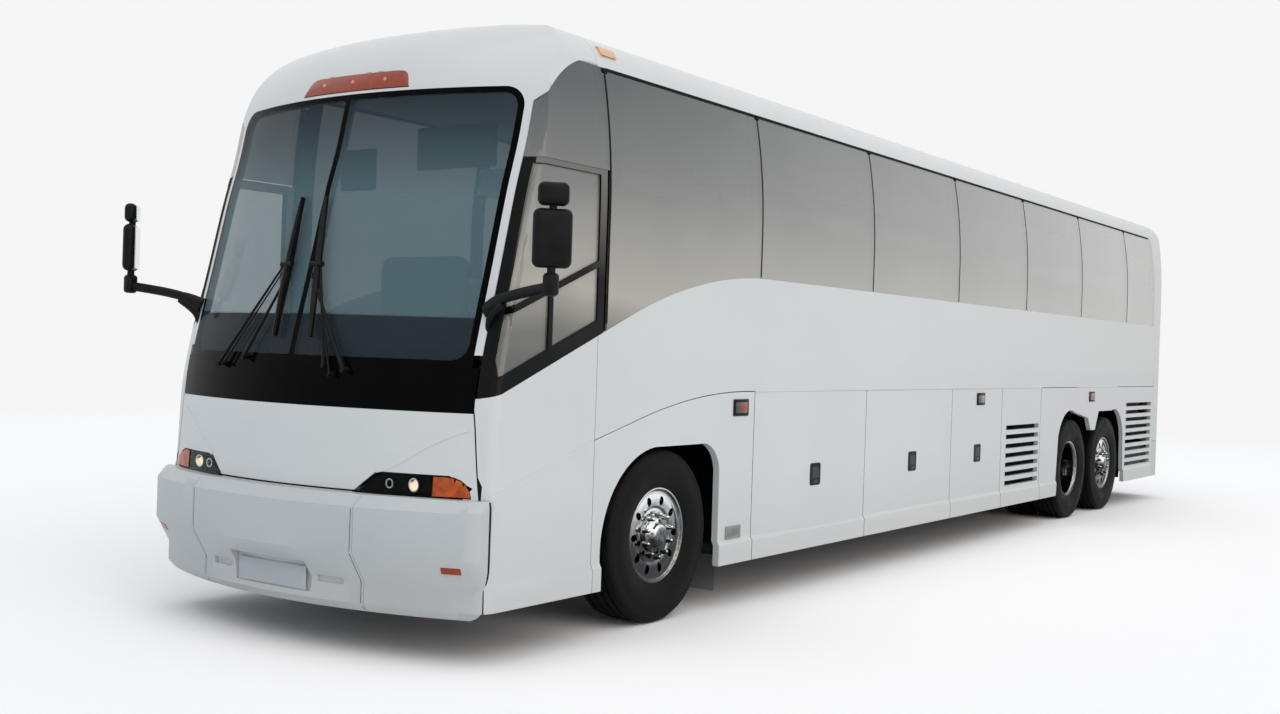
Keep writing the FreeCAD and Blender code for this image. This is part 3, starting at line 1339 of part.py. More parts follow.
PIN_LOW = s.tyre_radius - 2 * s.kingpin_eye
PIN_HIGH = s.tyre_radius + 2 * s.kingpin_eye
BEAM_LOW = PIN_LOW - s.kingpin_eye
SPRING_X = s.rail_inner + s.rail_width / 2
beam_half = s.kingpin_half - s.kingpin_eye
axle_parts = [block("beam", -beam_half, FRONT_AXLE - s.kingpin_eye, BEAM_LOW, 2 * beam_half, 2 * s.kingpin_eye,
                    1.4 * s.kingpin_eye)]
for name, side in SIDES.items():
    pin_x = side * s.kingpin_half
    post_x = beam_half - s.wall if side > 0 else -beam_half
    axle_parts += [
        block(f"beam_post_{name}", post_x, FRONT_AXLE - s.kingpin_eye, BEAM_LOW, s.wall, 2 * s.kingpin_eye,
              PIN_HIGH - BEAM_LOW),
        rod(f"kingpin_{name}", pin_x, FRONT_AXLE, BEAM_LOW, s.kingpin_radius, PIN_HIGH - BEAM_LOW),
        rod(f"eye_low_{name}", pin_x, FRONT_AXLE, BEAM_LOW, s.kingpin_eye, 0.8 * s.kingpin_eye),
        rod(f"eye_high_{name}", pin_x, FRONT_AXLE, PIN_HIGH - 0.7 * s.kingpin_eye, s.kingpin_eye,
            0.7 * s.kingpin_eye),
        block(f"eye_arm_high_{name}", post_x if side > 0 else -s.kingpin_half, FRONT_AXLE - s.kingpin_eye / 2,
              PIN_HIGH - 0.7 * s.kingpin_eye, s.wall + s.kingpin_eye, s.kingpin_eye, 0.7 * s.kingpin_eye),
        block(f"eye_arm_low_{name}", post_x if side > 0 else -s.kingpin_half, FRONT_AXLE - s.kingpin_eye / 2,
              BEAM_LOW, s.wall + s.kingpin_eye, s.kingpin_eye, 0.8 * s.kingpin_eye),
        rod(f"front_spring_{name}", side * SPRING_X, FRONT_AXLE, BEAM_LOW + s.kingpin_eye, s.spring_radius,
            s.rail_bottom - BEAM_LOW - s.kingpin_eye),
    ]
fused("front_axle", axle_parts)

boss_low = s.tyre_radius - s.kingpin_eye
for name, side in SIDES.items():
    pin_x = side * s.kingpin_half
    boss = rod(f"boss_{name}", pin_x, FRONT_AXLE, boss_low, s.kingpin_eye * 0.94, 2 * s.kingpin_eye)
    spindle_end = s.front_track_half + s.steer_disc_offset - s.seat_gap
    spindle = rod(f"spindle_{name}", pin_x if side > 0 else -spindle_end, FRONT_AXLE, s.tyre_radius,
                  s.spindle_radius, spindle_end - s.kingpin_half, "x")
    disc_low = s.kingpin_half + 1.4 * s.kingpin_eye
    brake = rod(f"brake_{name}", disc_low if side > 0 else -disc_low - s.wall, FRONT_AXLE, s.tyre_radius,
                s.brake_radius, s.wall, "x")
    blank = doc.addObject("Part::MultiFuse", f"knuckle_blank_{name}")
    blank.Shapes = [boss, spindle, brake]
    bore = rod(f"knuckle_bore_{name}", pin_x, FRONT_AXLE, BEAM_LOW, s.kingpin_radius + s.seat_gap,
               PIN_HIGH - BEAM_LOW)
    knuckle = doc.addObject("Part::Cut", f"knuckle_{name}")
    knuckle.Base = blank
    knuckle.Tool = bore
    keep(knuckle, f"knuckle_{name}")

rear_axles = []
for place, y, end in (("drive", DRIVE_AXLE, DRIVE_MIDDLE - s.seat_gap),
                      ("tag", TAG_AXLE, s.tag_track_half + s.steer_disc_offset - s.seat_gap)):
    parts = [rod(f"{place}_tube", -end, y, s.tyre_radius, s.axle_tube_radius, 2 * end, "x")]
    if place == "drive":
        parts.append(rod("differential", -s.differential_half, y, s.tyre_radius, s.differential_radius,
                         2 * s.differential_half, "x"))
    for name, side in SIDES.items():
        parts.append(rod(f"{place}_spring_{name}", side * SPRING_X, y, s.tyre_radius, s.spring_radius,
                         s.rail_bottom - s.tyre_radius))
    axle = doc.addObject("Part::MultiFuse", f"{place}_axle")
    axle.Shapes = parts
    rear_axles.append(axle)
group("rear_axles", rear_axles)
doc.recompute()

os.makedirs("parts", exist_ok=True)
for obj in NODES:
    if "Invalid" in obj.State or "Error" in obj.State:
        raise SystemExit(f"{obj.Label}: {obj.State}")
    if obj.Shape.isNull() or not obj.Shape.isValid() or not obj.Shape.Solids:
        raise SystemExit(f"{obj.Label}: shape not valid")
for obj in NODES:
    obj.Shape.exportStep(f"parts/{obj.Label}.step")
print(len(NODES), "sub-parts")
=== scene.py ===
import bmesh
import bpy
import math
from mathutils import Matrix, Vector
from mathutils.bvhtree import BVHTree


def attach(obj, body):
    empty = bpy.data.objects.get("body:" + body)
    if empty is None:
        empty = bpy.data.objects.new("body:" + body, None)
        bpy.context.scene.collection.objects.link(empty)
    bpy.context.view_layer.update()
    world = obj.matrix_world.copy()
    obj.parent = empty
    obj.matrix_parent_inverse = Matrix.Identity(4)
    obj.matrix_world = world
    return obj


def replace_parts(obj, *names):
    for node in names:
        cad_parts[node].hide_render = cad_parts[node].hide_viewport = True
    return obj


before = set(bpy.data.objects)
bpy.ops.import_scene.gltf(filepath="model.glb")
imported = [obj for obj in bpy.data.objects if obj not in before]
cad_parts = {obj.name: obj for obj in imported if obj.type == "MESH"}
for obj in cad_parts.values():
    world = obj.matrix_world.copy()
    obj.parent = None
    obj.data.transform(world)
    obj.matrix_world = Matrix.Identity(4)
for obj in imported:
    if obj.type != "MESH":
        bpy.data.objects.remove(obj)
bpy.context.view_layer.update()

# Chassis rails, cross beams, axles, air springs and wheel houses: welded and cast steel, painted
# black, and dull with road dust. The engine and gearbox hang between the rear rails.


def set_inputs(tree, node, inputs):
    """Set a node's inputs to values, or link them to the outputs of other nodes."""
    for name, value in inputs.items():
        if isinstance(value, bpy.types.NodeSocket):
            tree.links.new(value, node.inputs[name])
        else:
            node.inputs[name].default_value = value


def add_node(tree, kind, inputs=None, **settings):
    """Node in a tree, with its own settings and its inputs."""
    node = tree.nodes.new(kind)
    for name, value in settings.items():
        setattr(node, name, value)
    set_inputs(tree, node, inputs or {})
    return node


def ranged(tree, value, low, high, to_low=0.0, to_high=1.0, **settings):
    """Value carried over from one range to another."""
    spans = {"Value": value, "From Min": low, "From Max": high, "To Min": to_low, "To Max": to_high}
    return add_node(tree, "ShaderNodeMapRange", spans, **settings).outputs["Result"]


def new_material(name):
    """Material, its node tree and its surface shader."""
    mat = bpy.data.materials.new(name)
    mat.use_nodes = True
    return mat, mat.node_tree, mat.node_tree.nodes["Principled BSDF"]


def set_ramp(tone, stops):
    """Set the places and colours of a colour ramp's stops."""
    elements = tone.color_ramp.elements
    for position, _ in stops[2:]:
        elements.new(position)
    for element, (position, colour) in zip(elements, stops):
        element.position = position
        element.color = (*colour, 1)


def emboss(tree, height, strength, distance):
    """Fine relief on a material's surface."""
    bump = add_node(tree, "ShaderNodeBump", {"Strength": strength, "Distance": distance, "Height": height})
    tree.links.new(bump.outputs["Normal"], tree.nodes["Principled BSDF"].inputs["Normal"])


def coat(name, low, high, rough, rough_high=None, metal=0.0, clear=0.0, scale=5.0, grain=0.0,
         grain_scale=300.0, sheer=0.5):
    """Material whose colour and gloss drift a little over the piece, with an optional fine grain."""
    mat, tree, surface = new_material(name)
    place = add_node(tree, "ShaderNodeTexCoord").outputs["Object"]
    cloud = add_node(tree, "ShaderNodeTexNoise", {"Scale": scale, "Detail": 5.0, "Vector": place})
    drift, drift_low, drift_high = cloud.outputs["Fac"], 0.3, 0.7
    tone = add_node(tree, "ShaderNodeValToRGB", {"Fac": drift}, name="tone")
    set_ramp(tone, ((drift_low, low), (drift_high, high)))
    if rough_high is None:
        rough_high = rough * 1.3
    set_inputs(tree, surface, {
        "Metallic": metal, "Specular IOR Level": sheer, "Coat Weight": clear, "Coat Roughness": 0.04,
        "Base Color": tone.outputs["Color"],
        "Roughness": ranged(tree, drift, drift_low, drift_high, rough, rough_high)})
    if grain:
        fine = add_node(tree, "ShaderNodeTexNoise", {"Scale": grain_scale, "Detail": 3.0, "Vector": place})
        emboss(tree, fine.outputs["Fac"], grain, 0.002)
    return mat


def dress(nodes, material):
    """Give CAD nodes that stay as they are their finish."""
    for node in nodes:
        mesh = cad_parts[node].data
        mesh.materials.clear()
        mesh.materials.append(material)


# Black paint, made darker still so that it also stands in for the shade inside the wheel houses: partly
# painted shade.
chassis_black = coat("chassis_black", (0.0015, 0.0015, 0.0015), (0.006, 0.0055, 0.005), 0.5, 0.8, scale=3.0,
                     grain=0.3, sheer=0.05)
cast_iron = coat("cast_iron", (0.02, 0.02, 0.02), (0.06, 0.056, 0.052), 0.5, 0.8, metal=0.4, scale=8.0,
                 grain=0.5, sheer=0.2)
dress(["chassis_frame", "wheel_houses", "front_axle", "rear_axles"], chassis_black)
dress(["knuckle_left", "knuckle_right", "engine_block"], cast_iron)

# Floors, luggage bays and entrance steps: boards and checker sheet with a dark grey rubbery covering,
# glued down and turned up at the edges.
floor_cover = coat("floor_cover", (0.05, 0.052, 0.055), (0.085, 0.087, 0.09), 0.6, 0.8, scale=2.5, grain=0.35)
dress(["floor_deck", "cab_floor", "luggage_bays"], floor_cover)

# Passenger benches, two seats wide, in rows of woven blue-grey cloth, with the driver's own seat.
# Cushions and backs are foam under tight covers, each back with its own headrest.
SEAT_ROWS, SEAT_PITCH, FIRST_ROW = 12, 0.79, -4.18
DECK, CAB_FLOOR = 1.47, 0.93
BENCH_INNER, BENCH_OUTER = 0.17, 1.19
FOAM_SOFTNESS = 0.05


def woven(name, low, high):
    """Cloth whose threads follow the place on the seat."""
    mat = coat(name, low, high, 0.85, 0.95, scale=14.0)
    tree = mat.node_tree
    tree.nodes["Principled BSDF"].inputs["Sheen Weight"].default_value = 0.35
    place = tree.nodes["Texture Coordinate"].outputs["Object"]
    threads = add_node(tree, "ShaderNodeTexChecker", {"Scale": 260.0, "Vector": place})
    emboss(tree, threads.outputs["Fac"], 0.3, 0.001)
    return mat


def place_mesh(name, form, material, body, smooth=35.0):
    """Turn a finished form into a piece at the origin that rides on a body of the bus."""
    mesh = bpy.data.meshes.new(name)
    form.to_mesh(mesh)
    form.free()
    mesh.materials.append(material)
    mesh.shade_smooth()
    mesh.set_sharp_from_angle(angle=math.radians(smooth))
    obj = bpy.data.objects.new(name, mesh)
    bpy.context.scene.collection.objects.link(obj)
    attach(obj, body)
    return obj


def add_box(form, low, high, soften=0.0, steps=3, turn=None, about=None):
    """Box with softened edges, added to a form; it may be turned about a point."""
    verts = bmesh.ops.create_cube(form, size=1.0)["verts"]
    low, high = Vector(low), Vector(high)
    size = high - low
    for vert in verts:
        vert.co = Vector(c * s for c, s in zip(vert.co, size)) + (low + high) / 2
    if soften:
        edges = {edge for vert in verts for edge in vert.link_edges}
        verts = bmesh.ops.bevel(form, geom=list(edges), offset=min(soften, min(size) * 0.49), segments=steps,
                                affect="EDGES", profile=0.5)["verts"]
    if turn is not None:
        pivot = Vector(about)
        for vert in verts:
            vert.co = turn @ (vert.co - pivot) + pivot


def add_seat(form, x_low, x_high, front, floor, places, depth=0.45):
    """Seat bench: plinth, cushions, leaning backs and headrests."""
    lean = Matrix.Rotation(math.radians(-14), 3, "X")
    hinge = (0, front + depth, floor + 0.40)
    add_box(form, (x_low + 0.02, front + 0.04, floor), (x_high - 0.02, front + depth, floor + 0.27), 0.02, 2)
    wide = (x_high - x_low) / places
    for index in range(places):
        a = x_low + index * wide + 0.012
        b = a + wide - 0.024
        add_box(form, (a, front, floor + 0.26), (b, front + depth + 0.02, floor + 0.43), FOAM_SOFTNESS, 4)
        add_box(form, (a, front + depth - 0.01, floor + 0.36), (b, front + depth + 0.12, floor + 0.98),
                FOAM_SOFTNESS, 4, lean, hinge)
        add_box(form, (a + wide * 0.2, front + depth, floor + 0.97),
                (b - wide * 0.2, front + depth + 0.1, floor + 1.13), 0.04, 4, lean, hinge)


seat_cloth = woven("seat_cloth", (0.055, 0.07, 0.11), (0.10, 0.12, 0.17))
driver_cloth = woven("driver_cloth", (0.22, 0.225, 0.23), (0.32, 0.325, 0.33))
form_benches, form_driver = bmesh.new(), bmesh.new()
for row in range(SEAT_ROWS):
    y = FIRST_ROW + row * SEAT_PITCH
    add_seat(form_benches, BENCH_INNER, BENCH_OUTER, y, DECK, 2)
    add_seat(form_benches, -BENCH_OUTER, -BENCH_INNER, y, DECK, 2)
add_seat(form_driver, 0.46, 0.94, -5.92, CAB_FLOOR, 1, 0.36)
for name, form, cloth, node in (("bench_cushions", form_benches, seat_cloth, "passenger_seats"),
                                ("driver_cushions", form_driver, driver_cloth, "driver_seat")):
    cushions = place_mesh(name, form, cloth, "body")
    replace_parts(cushions, node)

# Overhead racks, dashboard and steering wheel: moulded plastic, light grey above and darker at the dash,
# clipped and screwed to the body frame.
rack_plastic = coat("rack_plastic", (0.42, 0.42, 0.41), (0.5, 0.5, 0.49), 0.5, 0.6, scale=2.0, grain=0.15)
dash_plastic = coat("dash_plastic", (0.10, 0.11, 0.115), (0.15, 0.16, 0.165), 0.55, 0.7, scale=4.0, grain=0.3)
dress(["luggage_racks"], rack_plastic)
dress(["dashboard", "steering_wheel"], dash_plastic)

# Body panels: moulded and pressed skins with thin dark seams between them, in gloss white paint with a
# clear top coat. The side doors hang from a long hinge under the waist line.
CAD_MERGE = 2e-5
ROAD_DUST = (0.50, 0.49, 0.47, 1)
# Grey the paint turns to towards the rear: a painted shade of the side farther off.
REAR_PAINTED_SHADE = (0.52, 0.51, 0.50, 1)


def mixed(tree, share, first, second):
    """Colour mixed from two colours."""
    return add_node(tree, "ShaderNodeMix", {0: share, 6: first, 7: second}, data_type="RGBA").outputs[2]


def painted(name, low, high, rough, clear):
    """Gloss paint that gathers a little road dust low on the body, and is darker towards the rear as painted
    shade.
    """
    mat = coat(name, low, high, rough, clear=clear, scale=1.2, sheer=0.35)
    tree = mat.node_tree
    place = tree.nodes["Texture Coordinate"].outputs["Object"]
    split = add_node(tree, "ShaderNodeSeparateXYZ", {"Vector": place}).outputs
    low_down = ranged(tree, split["Z"], 0.25, 0.9, 0.35, 0.0)
    dusty = mixed(tree, low_down, tree.nodes["tone"].outputs["Color"], ROAD_DUST)
    # Darker towards the rear: painted shade.
    rear_painted_share = ranged(tree, split["Y"], -2.0, 6.3, 0.0, 0.6)
    shaded_to_rear = mixed(tree, rear_painted_share, dusty, REAR_PAINTED_SHADE)
    tree.links.new(shaded_to_rear, tree.nodes["Principled BSDF"].inputs["Base Color"])
    return mat


def bake(obj, modifier):
    """Turn a piece and its modifier into a plain mesh."""
    bpy.context.view_layer.update()
    done = bpy.data.meshes.new_from_object(obj.evaluated_get(bpy.context.evaluated_depsgraph_get()))
    obj.modifiers.remove(modifier)
    old, obj.data = obj.data, done
    bpy.data.meshes.remove(old)
    return done


def smooth_copy(node, material, body="body", dark=None):
    """Copy of a CAD node with its triangles joined and its curved faces smooth, which stands for the
    node. Its edge faces at the two ends, or all round with dark="round", may be black rubber that is
    also painted shade in the seams."""
    form = bmesh.new()
    form.from_mesh(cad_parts[node].data)
    bmesh.ops.remove_doubles(form, verts=form.verts, dist=CAD_MERGE)
    skin = place_mesh(f"{node}_skin", form, material, body, 24.0)
    if "custom_normal" in skin.data.attributes:
        skin.data.attributes.remove(skin.data.attributes["custom_normal"])
    even = skin.modifiers.new("even", "WEIGHTED_NORMAL")
    even.keep_sharp = True
    done = bake(skin, even)
    if dark:
        done.materials.append(rubber_and_gap_shade)
        ends = [f([v.co.y for v in done.vertices]) for f in (min, max)]
        for face in done.polygons:
            at_end = abs(face.normal.y) > 0.9 and min(abs(face.center.y - y) for y in ends) < 0.003
            if at_end or dark == "round" and abs(face.normal.x) < 0.5:
                face.material_index = 1
    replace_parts(skin, node)


# Black rubber, which is also put on panel edges and in gaps as painted shade in the seams.
rubber_and_gap_shade = coat("rubber_and_gap_shade", (0.004, 0.004, 0.004), (0.010, 0.010, 0.010), 0.6, 0.8, scale=6.0,
                   sheer=0.1)
white_paint = painted("white_paint", (0.705, 0.71, 0.715), (0.735, 0.74, 0.745), 0.28, 0.3)
for node in ("roof", "front_cap", "nose_panel", "rear_mask"):
    smooth_copy(node, white_paint)
for node in ("side_panels", "front_arch_panels", "rear_quarter_panels", "front_side_panels"):
    smooth_copy(node, white_paint, dark="ends")
smooth_copy("engine_door", white_paint, "engine_door")
smooth_copy("entrance_door", white_paint, "entrance_door", dark="round")
for side in ("left", "right"):
    for number in (1, 2, 3):
        door = f"luggage_door_{side}_{number}"
        smooth_copy(door, white_paint, door, dark="round")
    door = f"louvred_door_{side}"
    smooth_copy(door, white_paint, door, dark="ends")

# Side and rear glazing: large panes of dark coated glass bonded over black posts. Their colour is a painted
# reflection, like smoked mirrors: darker and cooler at the top and warm grey lower down.
# Pale grey the side glass turns to towards the rear: a painted reflection of the far studio.
PAINTED_FAR_REFLECTION = (0.66, 0.66, 0.63, 1)


def computed(tree, operation, *values):
    """Result of a sum on values or outputs."""
    return add_node(tree, "ShaderNodeMath", dict(enumerate(values)), operation=operation).outputs["Value"]


def smoked(name, stops, low, high, solid, gloss=1.0, far=0.0, wander=0.5):
    """Coated glass toned by height between two levels, paler towards the rear by the share far as a painted
    reflection. Where solid is below one, light comes through."""
    mat, tree, surface = new_material(name)
    place = add_node(tree, "ShaderNodeTexCoord").outputs["Object"]
    split = add_node(tree, "ShaderNodeSeparateXYZ", {"Vector": place}).outputs
    drift = add_node(tree, "ShaderNodeTexNoise", {"Scale": 0.55, "Detail": 2.0, "Vector": place})
    level = computed(tree, "MULTIPLY_ADD", drift.outputs["Fac"], wander, split["Z"])
    height = ranged(tree, level, low + wander / 2, high + wander / 2)
    tone = add_node(tree, "ShaderNodeValToRGB", {"Fac": height})
    set_ramp(tone, stops)
    rear_painted_share = ranged(tree, split["Y"], -5.6, 4.5, 0.0, far)
    set_inputs(tree, surface, {
        "Roughness": 0.06, "Specular IOR Level": 0.5 * gloss, "Coat Weight": gloss, "Coat Roughness": 0.05,
        "Coat IOR": 1.7, "Alpha": solid,
        "Base Color": mixed(tree, rear_painted_share, tone.outputs["Color"], PAINTED_FAR_REFLECTION)})
    return mat


# The side glass's tones by height are painted reflection: darker and cooler at the top, warm grey lower down.
side_painted_reflection = ((0.05, (0.16, 0.155, 0.135)), (0.22, (0.60, 0.56, 0.48)), (0.42, (0.40, 0.385, 0.35)),
              (0.62, (0.21, 0.207, 0.205)), (1.0, (0.030, 0.034, 0.040)))
door_tones = ((0.0, (0.10, 0.12, 0.125)), (0.5, (0.16, 0.19, 0.20)), (1.0, (0.10, 0.12, 0.13)))
# The driver window frame is black below and warm grey towards the top, a painted reflection like that on the
# side glass.
frame_painted_reflection = ((0.0, (0.002, 0.002, 0.002)), (0.50, (0.003, 0.003, 0.003)), (0.72, (0.12, 0.113, 0.10)),
               (1.0, (0.20, 0.192, 0.178)))
smoked_glass = smoked("smoked_glass", side_painted_reflection, 1.7, 3.2, 0.68, far=0.9)
door_glass = smoked("door_glass", door_tones, 0.6, 3.0, 0.35)
frame_gloss = smoked("frame_gloss", frame_painted_reflection, 1.5, 2.7, 1.0, gloss=0.12)
black_gloss = coat("black_gloss", (0.001, 0.001, 0.0012), (0.0025, 0.0025, 0.003), 0.10, 0.16, scale=3.0,
                   sheer=0.03)
smooth_copy("side_glass", smoked_glass)
smooth_copy("entrance_door_glass", door_glass, "entrance_door")
smooth_copy("rear_window_pane", smoked_glass)
smooth_copy("window_posts", black_gloss)
smooth_copy("driver_window_frame", frame_gloss, dark="round")

# Windshield: two lightly tinted panes in a black rubber surround, over a gloss black valance. Laminated
# glass with a darker shade band along its top.
screen_tones = ((0.0, (0.030, 0.044, 0.056)), (0.165, (0.036, 0.052, 0.064)), (0.17, (0.17, 0.27, 0.305)),
                (0.6, (0.165, 0.265, 0.30)), (0.85, (0.065, 0.108, 0.13)), (1.0, (0.02, 0.036, 0.047)))
screen_glass = smoked("screen_glass", screen_tones, 1.55, 3.05, 0.40, gloss=0.12, wander=0.04)
smooth_copy("windshield_panes", screen_glass)
smooth_copy("windshield_surround", black_gloss)

# Bumpers: moulded plastic in body white, a little duller than the panels. The front one is in three parts
# with a pocket for the plate, the rear one in one part; both are bolted to the frame from behind.
bumper_white = painted("bumper_white", (0.56, 0.575, 0.595), (0.60, 0.615, 0.635), 0.36, 0.15)
smooth_copy("front_bumper", bumper_white)
smooth_copy("rear_bumper", bumper_white)

# Tyres: black rubber with a raised shoulder, a bead by the rim and four grooves round the tread. The
# drive axle has them in pairs.
AXLE_HEIGHT = 0.53
AXLES = {"front": (1.085, -4.70), "tag": (1.094, 4.42), "drive": (0.9215, 3.20)}
TWIN_OFFSET = 0.1725
SIDES = {"left": 1, "right": -1}


def turn_line(form, line, centre, side, segments, closed=False):
    """Skin made by turning a line of (reach, radius) points about the axle; reach runs outwards."""
    rings = []
    for reach, radius in line:
        x = centre[0] + side * reach
        if radius < 1e-6:
            rings.append([form.verts.new((x, centre[1], centre[2]))] * segments)
            continue
        angles = [2 * math.pi * index / segments for index in range(segments)]
        rings.append([form.verts.new((x, centre[1] + radius * math.sin(a), centre[2] + radius * math.cos(a)))
                      for a in angles])
    pairs = list(zip(rings, rings[1:])) + ([(rings[-1], rings[0])] if closed else [])
    for near, far in pairs:
        for index in range(segments):
            after = (index + 1) % segments
            corners = list(dict.fromkeys((near[index], near[after], far[after], far[index])))
            if len(corners) > 2:
                form.faces.new(corners)


def finish_form(form, merge=None):
    """Face a form outwards, after joining its doubled points where a distance is given."""
    if merge:
        bmesh.ops.remove_doubles(form, verts=form.verts, dist=merge)
    bmesh.ops.recalc_face_normals(form, faces=form.faces)


def tyre_line(middle):
    """Closed section of a tyre about its own middle: bead, sidewall, shoulder, grooved tread."""
    half = [(0.118, 0.2865), (0.128, 0.297), (0.136, 0.318), (0.151, 0.365), (0.156, 0.405), (0.153, 0.445),
            (0.1465, 0.470), (0.1475, 0.478), (0.143, 0.500), (0.136, 0.516), (0.126, 0.524)]
    for groove in (0.086, 0.029):
        half += [(groove + 0.0075, 0.5285), (groove + 0.0055, 0.5155), (groove - 0.0055, 0.5155),
                 (groove - 0.0075, 0.5300)]
    return ([(middle + reach, radius) for reach, radius in half]
            + [(middle - reach, radius) for reach, radius in reversed(half)])


tyre_rubber = coat("tyre_rubber", (0.0035, 0.0035, 0.0035), (0.009, 0.0085, 0.008), 0.5, 0.7, scale=7.0,
                   grain=0.25, grain_scale=220.0, sheer=0.11)
for side_name, side in SIDES.items():
    for axle, (reach, y) in AXLES.items():
        form = bmesh.new()
        for middle in ((-TWIN_OFFSET, TWIN_OFFSET) if axle == "drive" else (0.0,)):
            turn_line(form, tyre_line(middle), (side * reach, y, AXLE_HEIGHT), side, 144, closed=True)
        finish_form(form)
        node = f"tyre{'s' if axle == 'drive' else ''}_{axle}_{side_name}"
        wheel = f"wheel_{axle}_{side_name}"
        tyre = place_mesh(f"{node}_rubber", form, tyre_rubber, wheel, 50.0)
        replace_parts(tyre, node)

# Wheels: forged and polished aluminium discs with ten oval hand holes, held by ten chromed nuts round a
# bright hub cap. The drive wheels are dished deep, the others face outwards.
HOLES, HOLE_STEPS, HOLE_CIRCLE = 10, 20, 0.215
HOLE_ACROSS, HOLE_ALONG = 0.022, 0.029
DISC_LINES = {
    "flat": [(-0.118, 0.284), (-0.108, 0.270), (0.0, 0.262), (0.060, 0.262), (0.072, 0.240), (0.078, 0.160),
             (0.078, 0.0), (0.094, 0.0), (0.094, 0.150), (0.090, 0.166), (0.101, 0.176), (0.106, 0.215),
             (0.099, 0.262), (0.106, 0.2755), (0.1215, 0.2805), (0.1245, 0.290), (0.117, 0.2955),
             (0.110, 0.287)],
    "deep": [(-0.290, 0.284), (-0.280, 0.270), (-0.02, 0.262), (0.005, 0.240), (0.005, 0.0), (0.030, 0.0),
             (0.030, 0.165), (0.026, 0.185), (0.030, 0.228), (0.060, 0.254), (0.270, 0.262), (0.286, 0.274),
             (0.2965, 0.290), (0.289, 0.2955), (0.282, 0.287)],
}
HUB_LINES = {
    "flat": [(0.094, 0.108), (0.112, 0.105), (0.118, 0.092), (0.126, 0.078), (0.150, 0.070), (0.158, 0.058),
             (0.160, 0.0)],
    "deep": [(0.030, 0.108), (0.060, 0.104), (0.135, 0.092), (0.142, 0.084), (0.158, 0.080), (0.165, 0.066),
             (0.166, 0.0)],
}
# Middle of the disc where its holes are cut, half the depth of the cut, and reach of the nuts.
DISC_DEPTHS = {"flat": (0.095, 0.045, 0.111), "deep": (0.015, 0.040, 0.047)}


def metal_with_painted_reflection(name, dull, bright, rough):
    """Polished metal with painted reflection, brighter facing the sky and at the wheel's top, streaked
    between.
    """
    mat = coat(name, dull, bright, rough, metal=1.0, scale=9.0)
    tree = mat.node_tree
    facing = add_node(tree, "ShaderNodeNewGeometry").outputs["Normal"]
    place = tree.nodes["Texture Coordinate"].outputs["Object"]
    upward, height = (add_node(tree, "ShaderNodeSeparateXYZ", {"Vector": source}).outputs["Z"]
                      for source in (facing, place))
    # Painted reflection: lighter where the face turns up and high on the wheel, darker below the axle.
    sky_facing_reflection = ranged(tree, upward, -1.0, 1.0, -0.8, 0.8)
    rise = ranged(tree, height, AXLE_HEIGHT - 0.26, AXLE_HEIGHT + 0.26, -0.42, 0.66)
    reflection_streaks = add_node(tree, "ShaderNodeTexNoise", {"Scale": 14.0, "Detail": 2.0, "Vector": facing})
    reflection_level = computed(tree, "ADD", sky_facing_reflection, rise)
    painted_reflection = computed(tree, "MULTIPLY_ADD", reflection_streaks.outputs["Fac"], 0.9, reflection_level)
    tone = tree.nodes["tone"]
    tree.links.new(painted_reflection, tone.inputs["Fac"])
    middle = tuple(0.55 * a + 0.35 * b for a, b in zip(dull, bright))
    set_ramp(tone, ((0.45, dull), (0.72, middle), (1.0, bright)))
    return mat


def rounded_line(points, radius, steps=3):
    """Line through points with its inner corners rounded."""
    line = [Vector(points[0])]
    for before, corner, after in zip(points, points[1:], points[2:]):
        corner = Vector(corner)
        back, on = Vector(before) - corner, Vector(after) - corner
        start = corner + back.normalized() * min(radius, back.length * 0.45)
        end = corner + on.normalized() * min(radius, on.length * 0.45)
        for step in range(steps + 1):
            t = step / steps
            line.append(start * (1 - t) ** 2 + corner * (2 * t * (1 - t)) + end * t * t)
    line.append(Vector(points[-1]))
    return line


def ring_walls(form, rings):
    """Join rings of points into a closed bar."""
    for near, far in zip(rings, rings[1:]):
        for step in range(len(near)):
            after = (step + 1) % len(near)
            form.faces.new((near[step], near[after], far[after], far[step]))
    form.faces.new(rings[0])
    form.faces.new(rings[-1])


def cut_holes(wheel, centre, side, reach, drift):
    """Cut the oval hand holes through the disc of a wheel."""
    form = bmesh.new()
    for index in range(HOLES):
        turn = Matrix.Rotation(2 * math.pi * (index + 0.5) / HOLES, 4, "X")
        rings = []
        for x in (side * reach - drift, side * reach + drift):
            angles = [2 * math.pi * step / HOLE_STEPS for step in range(HOLE_STEPS)]
            points = [(x, HOLE_ACROSS * math.cos(a), HOLE_CIRCLE + HOLE_ALONG * math.sin(a)) for a in angles]
            rings.append([form.verts.new(Vector(centre) + turn @ Vector(point)) for point in points])
        ring_walls(form, rings)
    finish_form(form)
    mesh = bpy.data.meshes.new("hole_cutters")
    form.to_mesh(mesh)
    form.free()
    cutter = bpy.data.objects.new("hole_cutters", mesh)
    bpy.context.scene.collection.objects.link(cutter)
    cut = wheel.modifiers.new("holes", "BOOLEAN")
    cut.operation = "DIFFERENCE"
    cut.solver = "EXACT"
    cut.object = cutter
    bake(wheel, cut)
    bpy.data.objects.remove(cutter)
    bpy.data.meshes.remove(mesh)


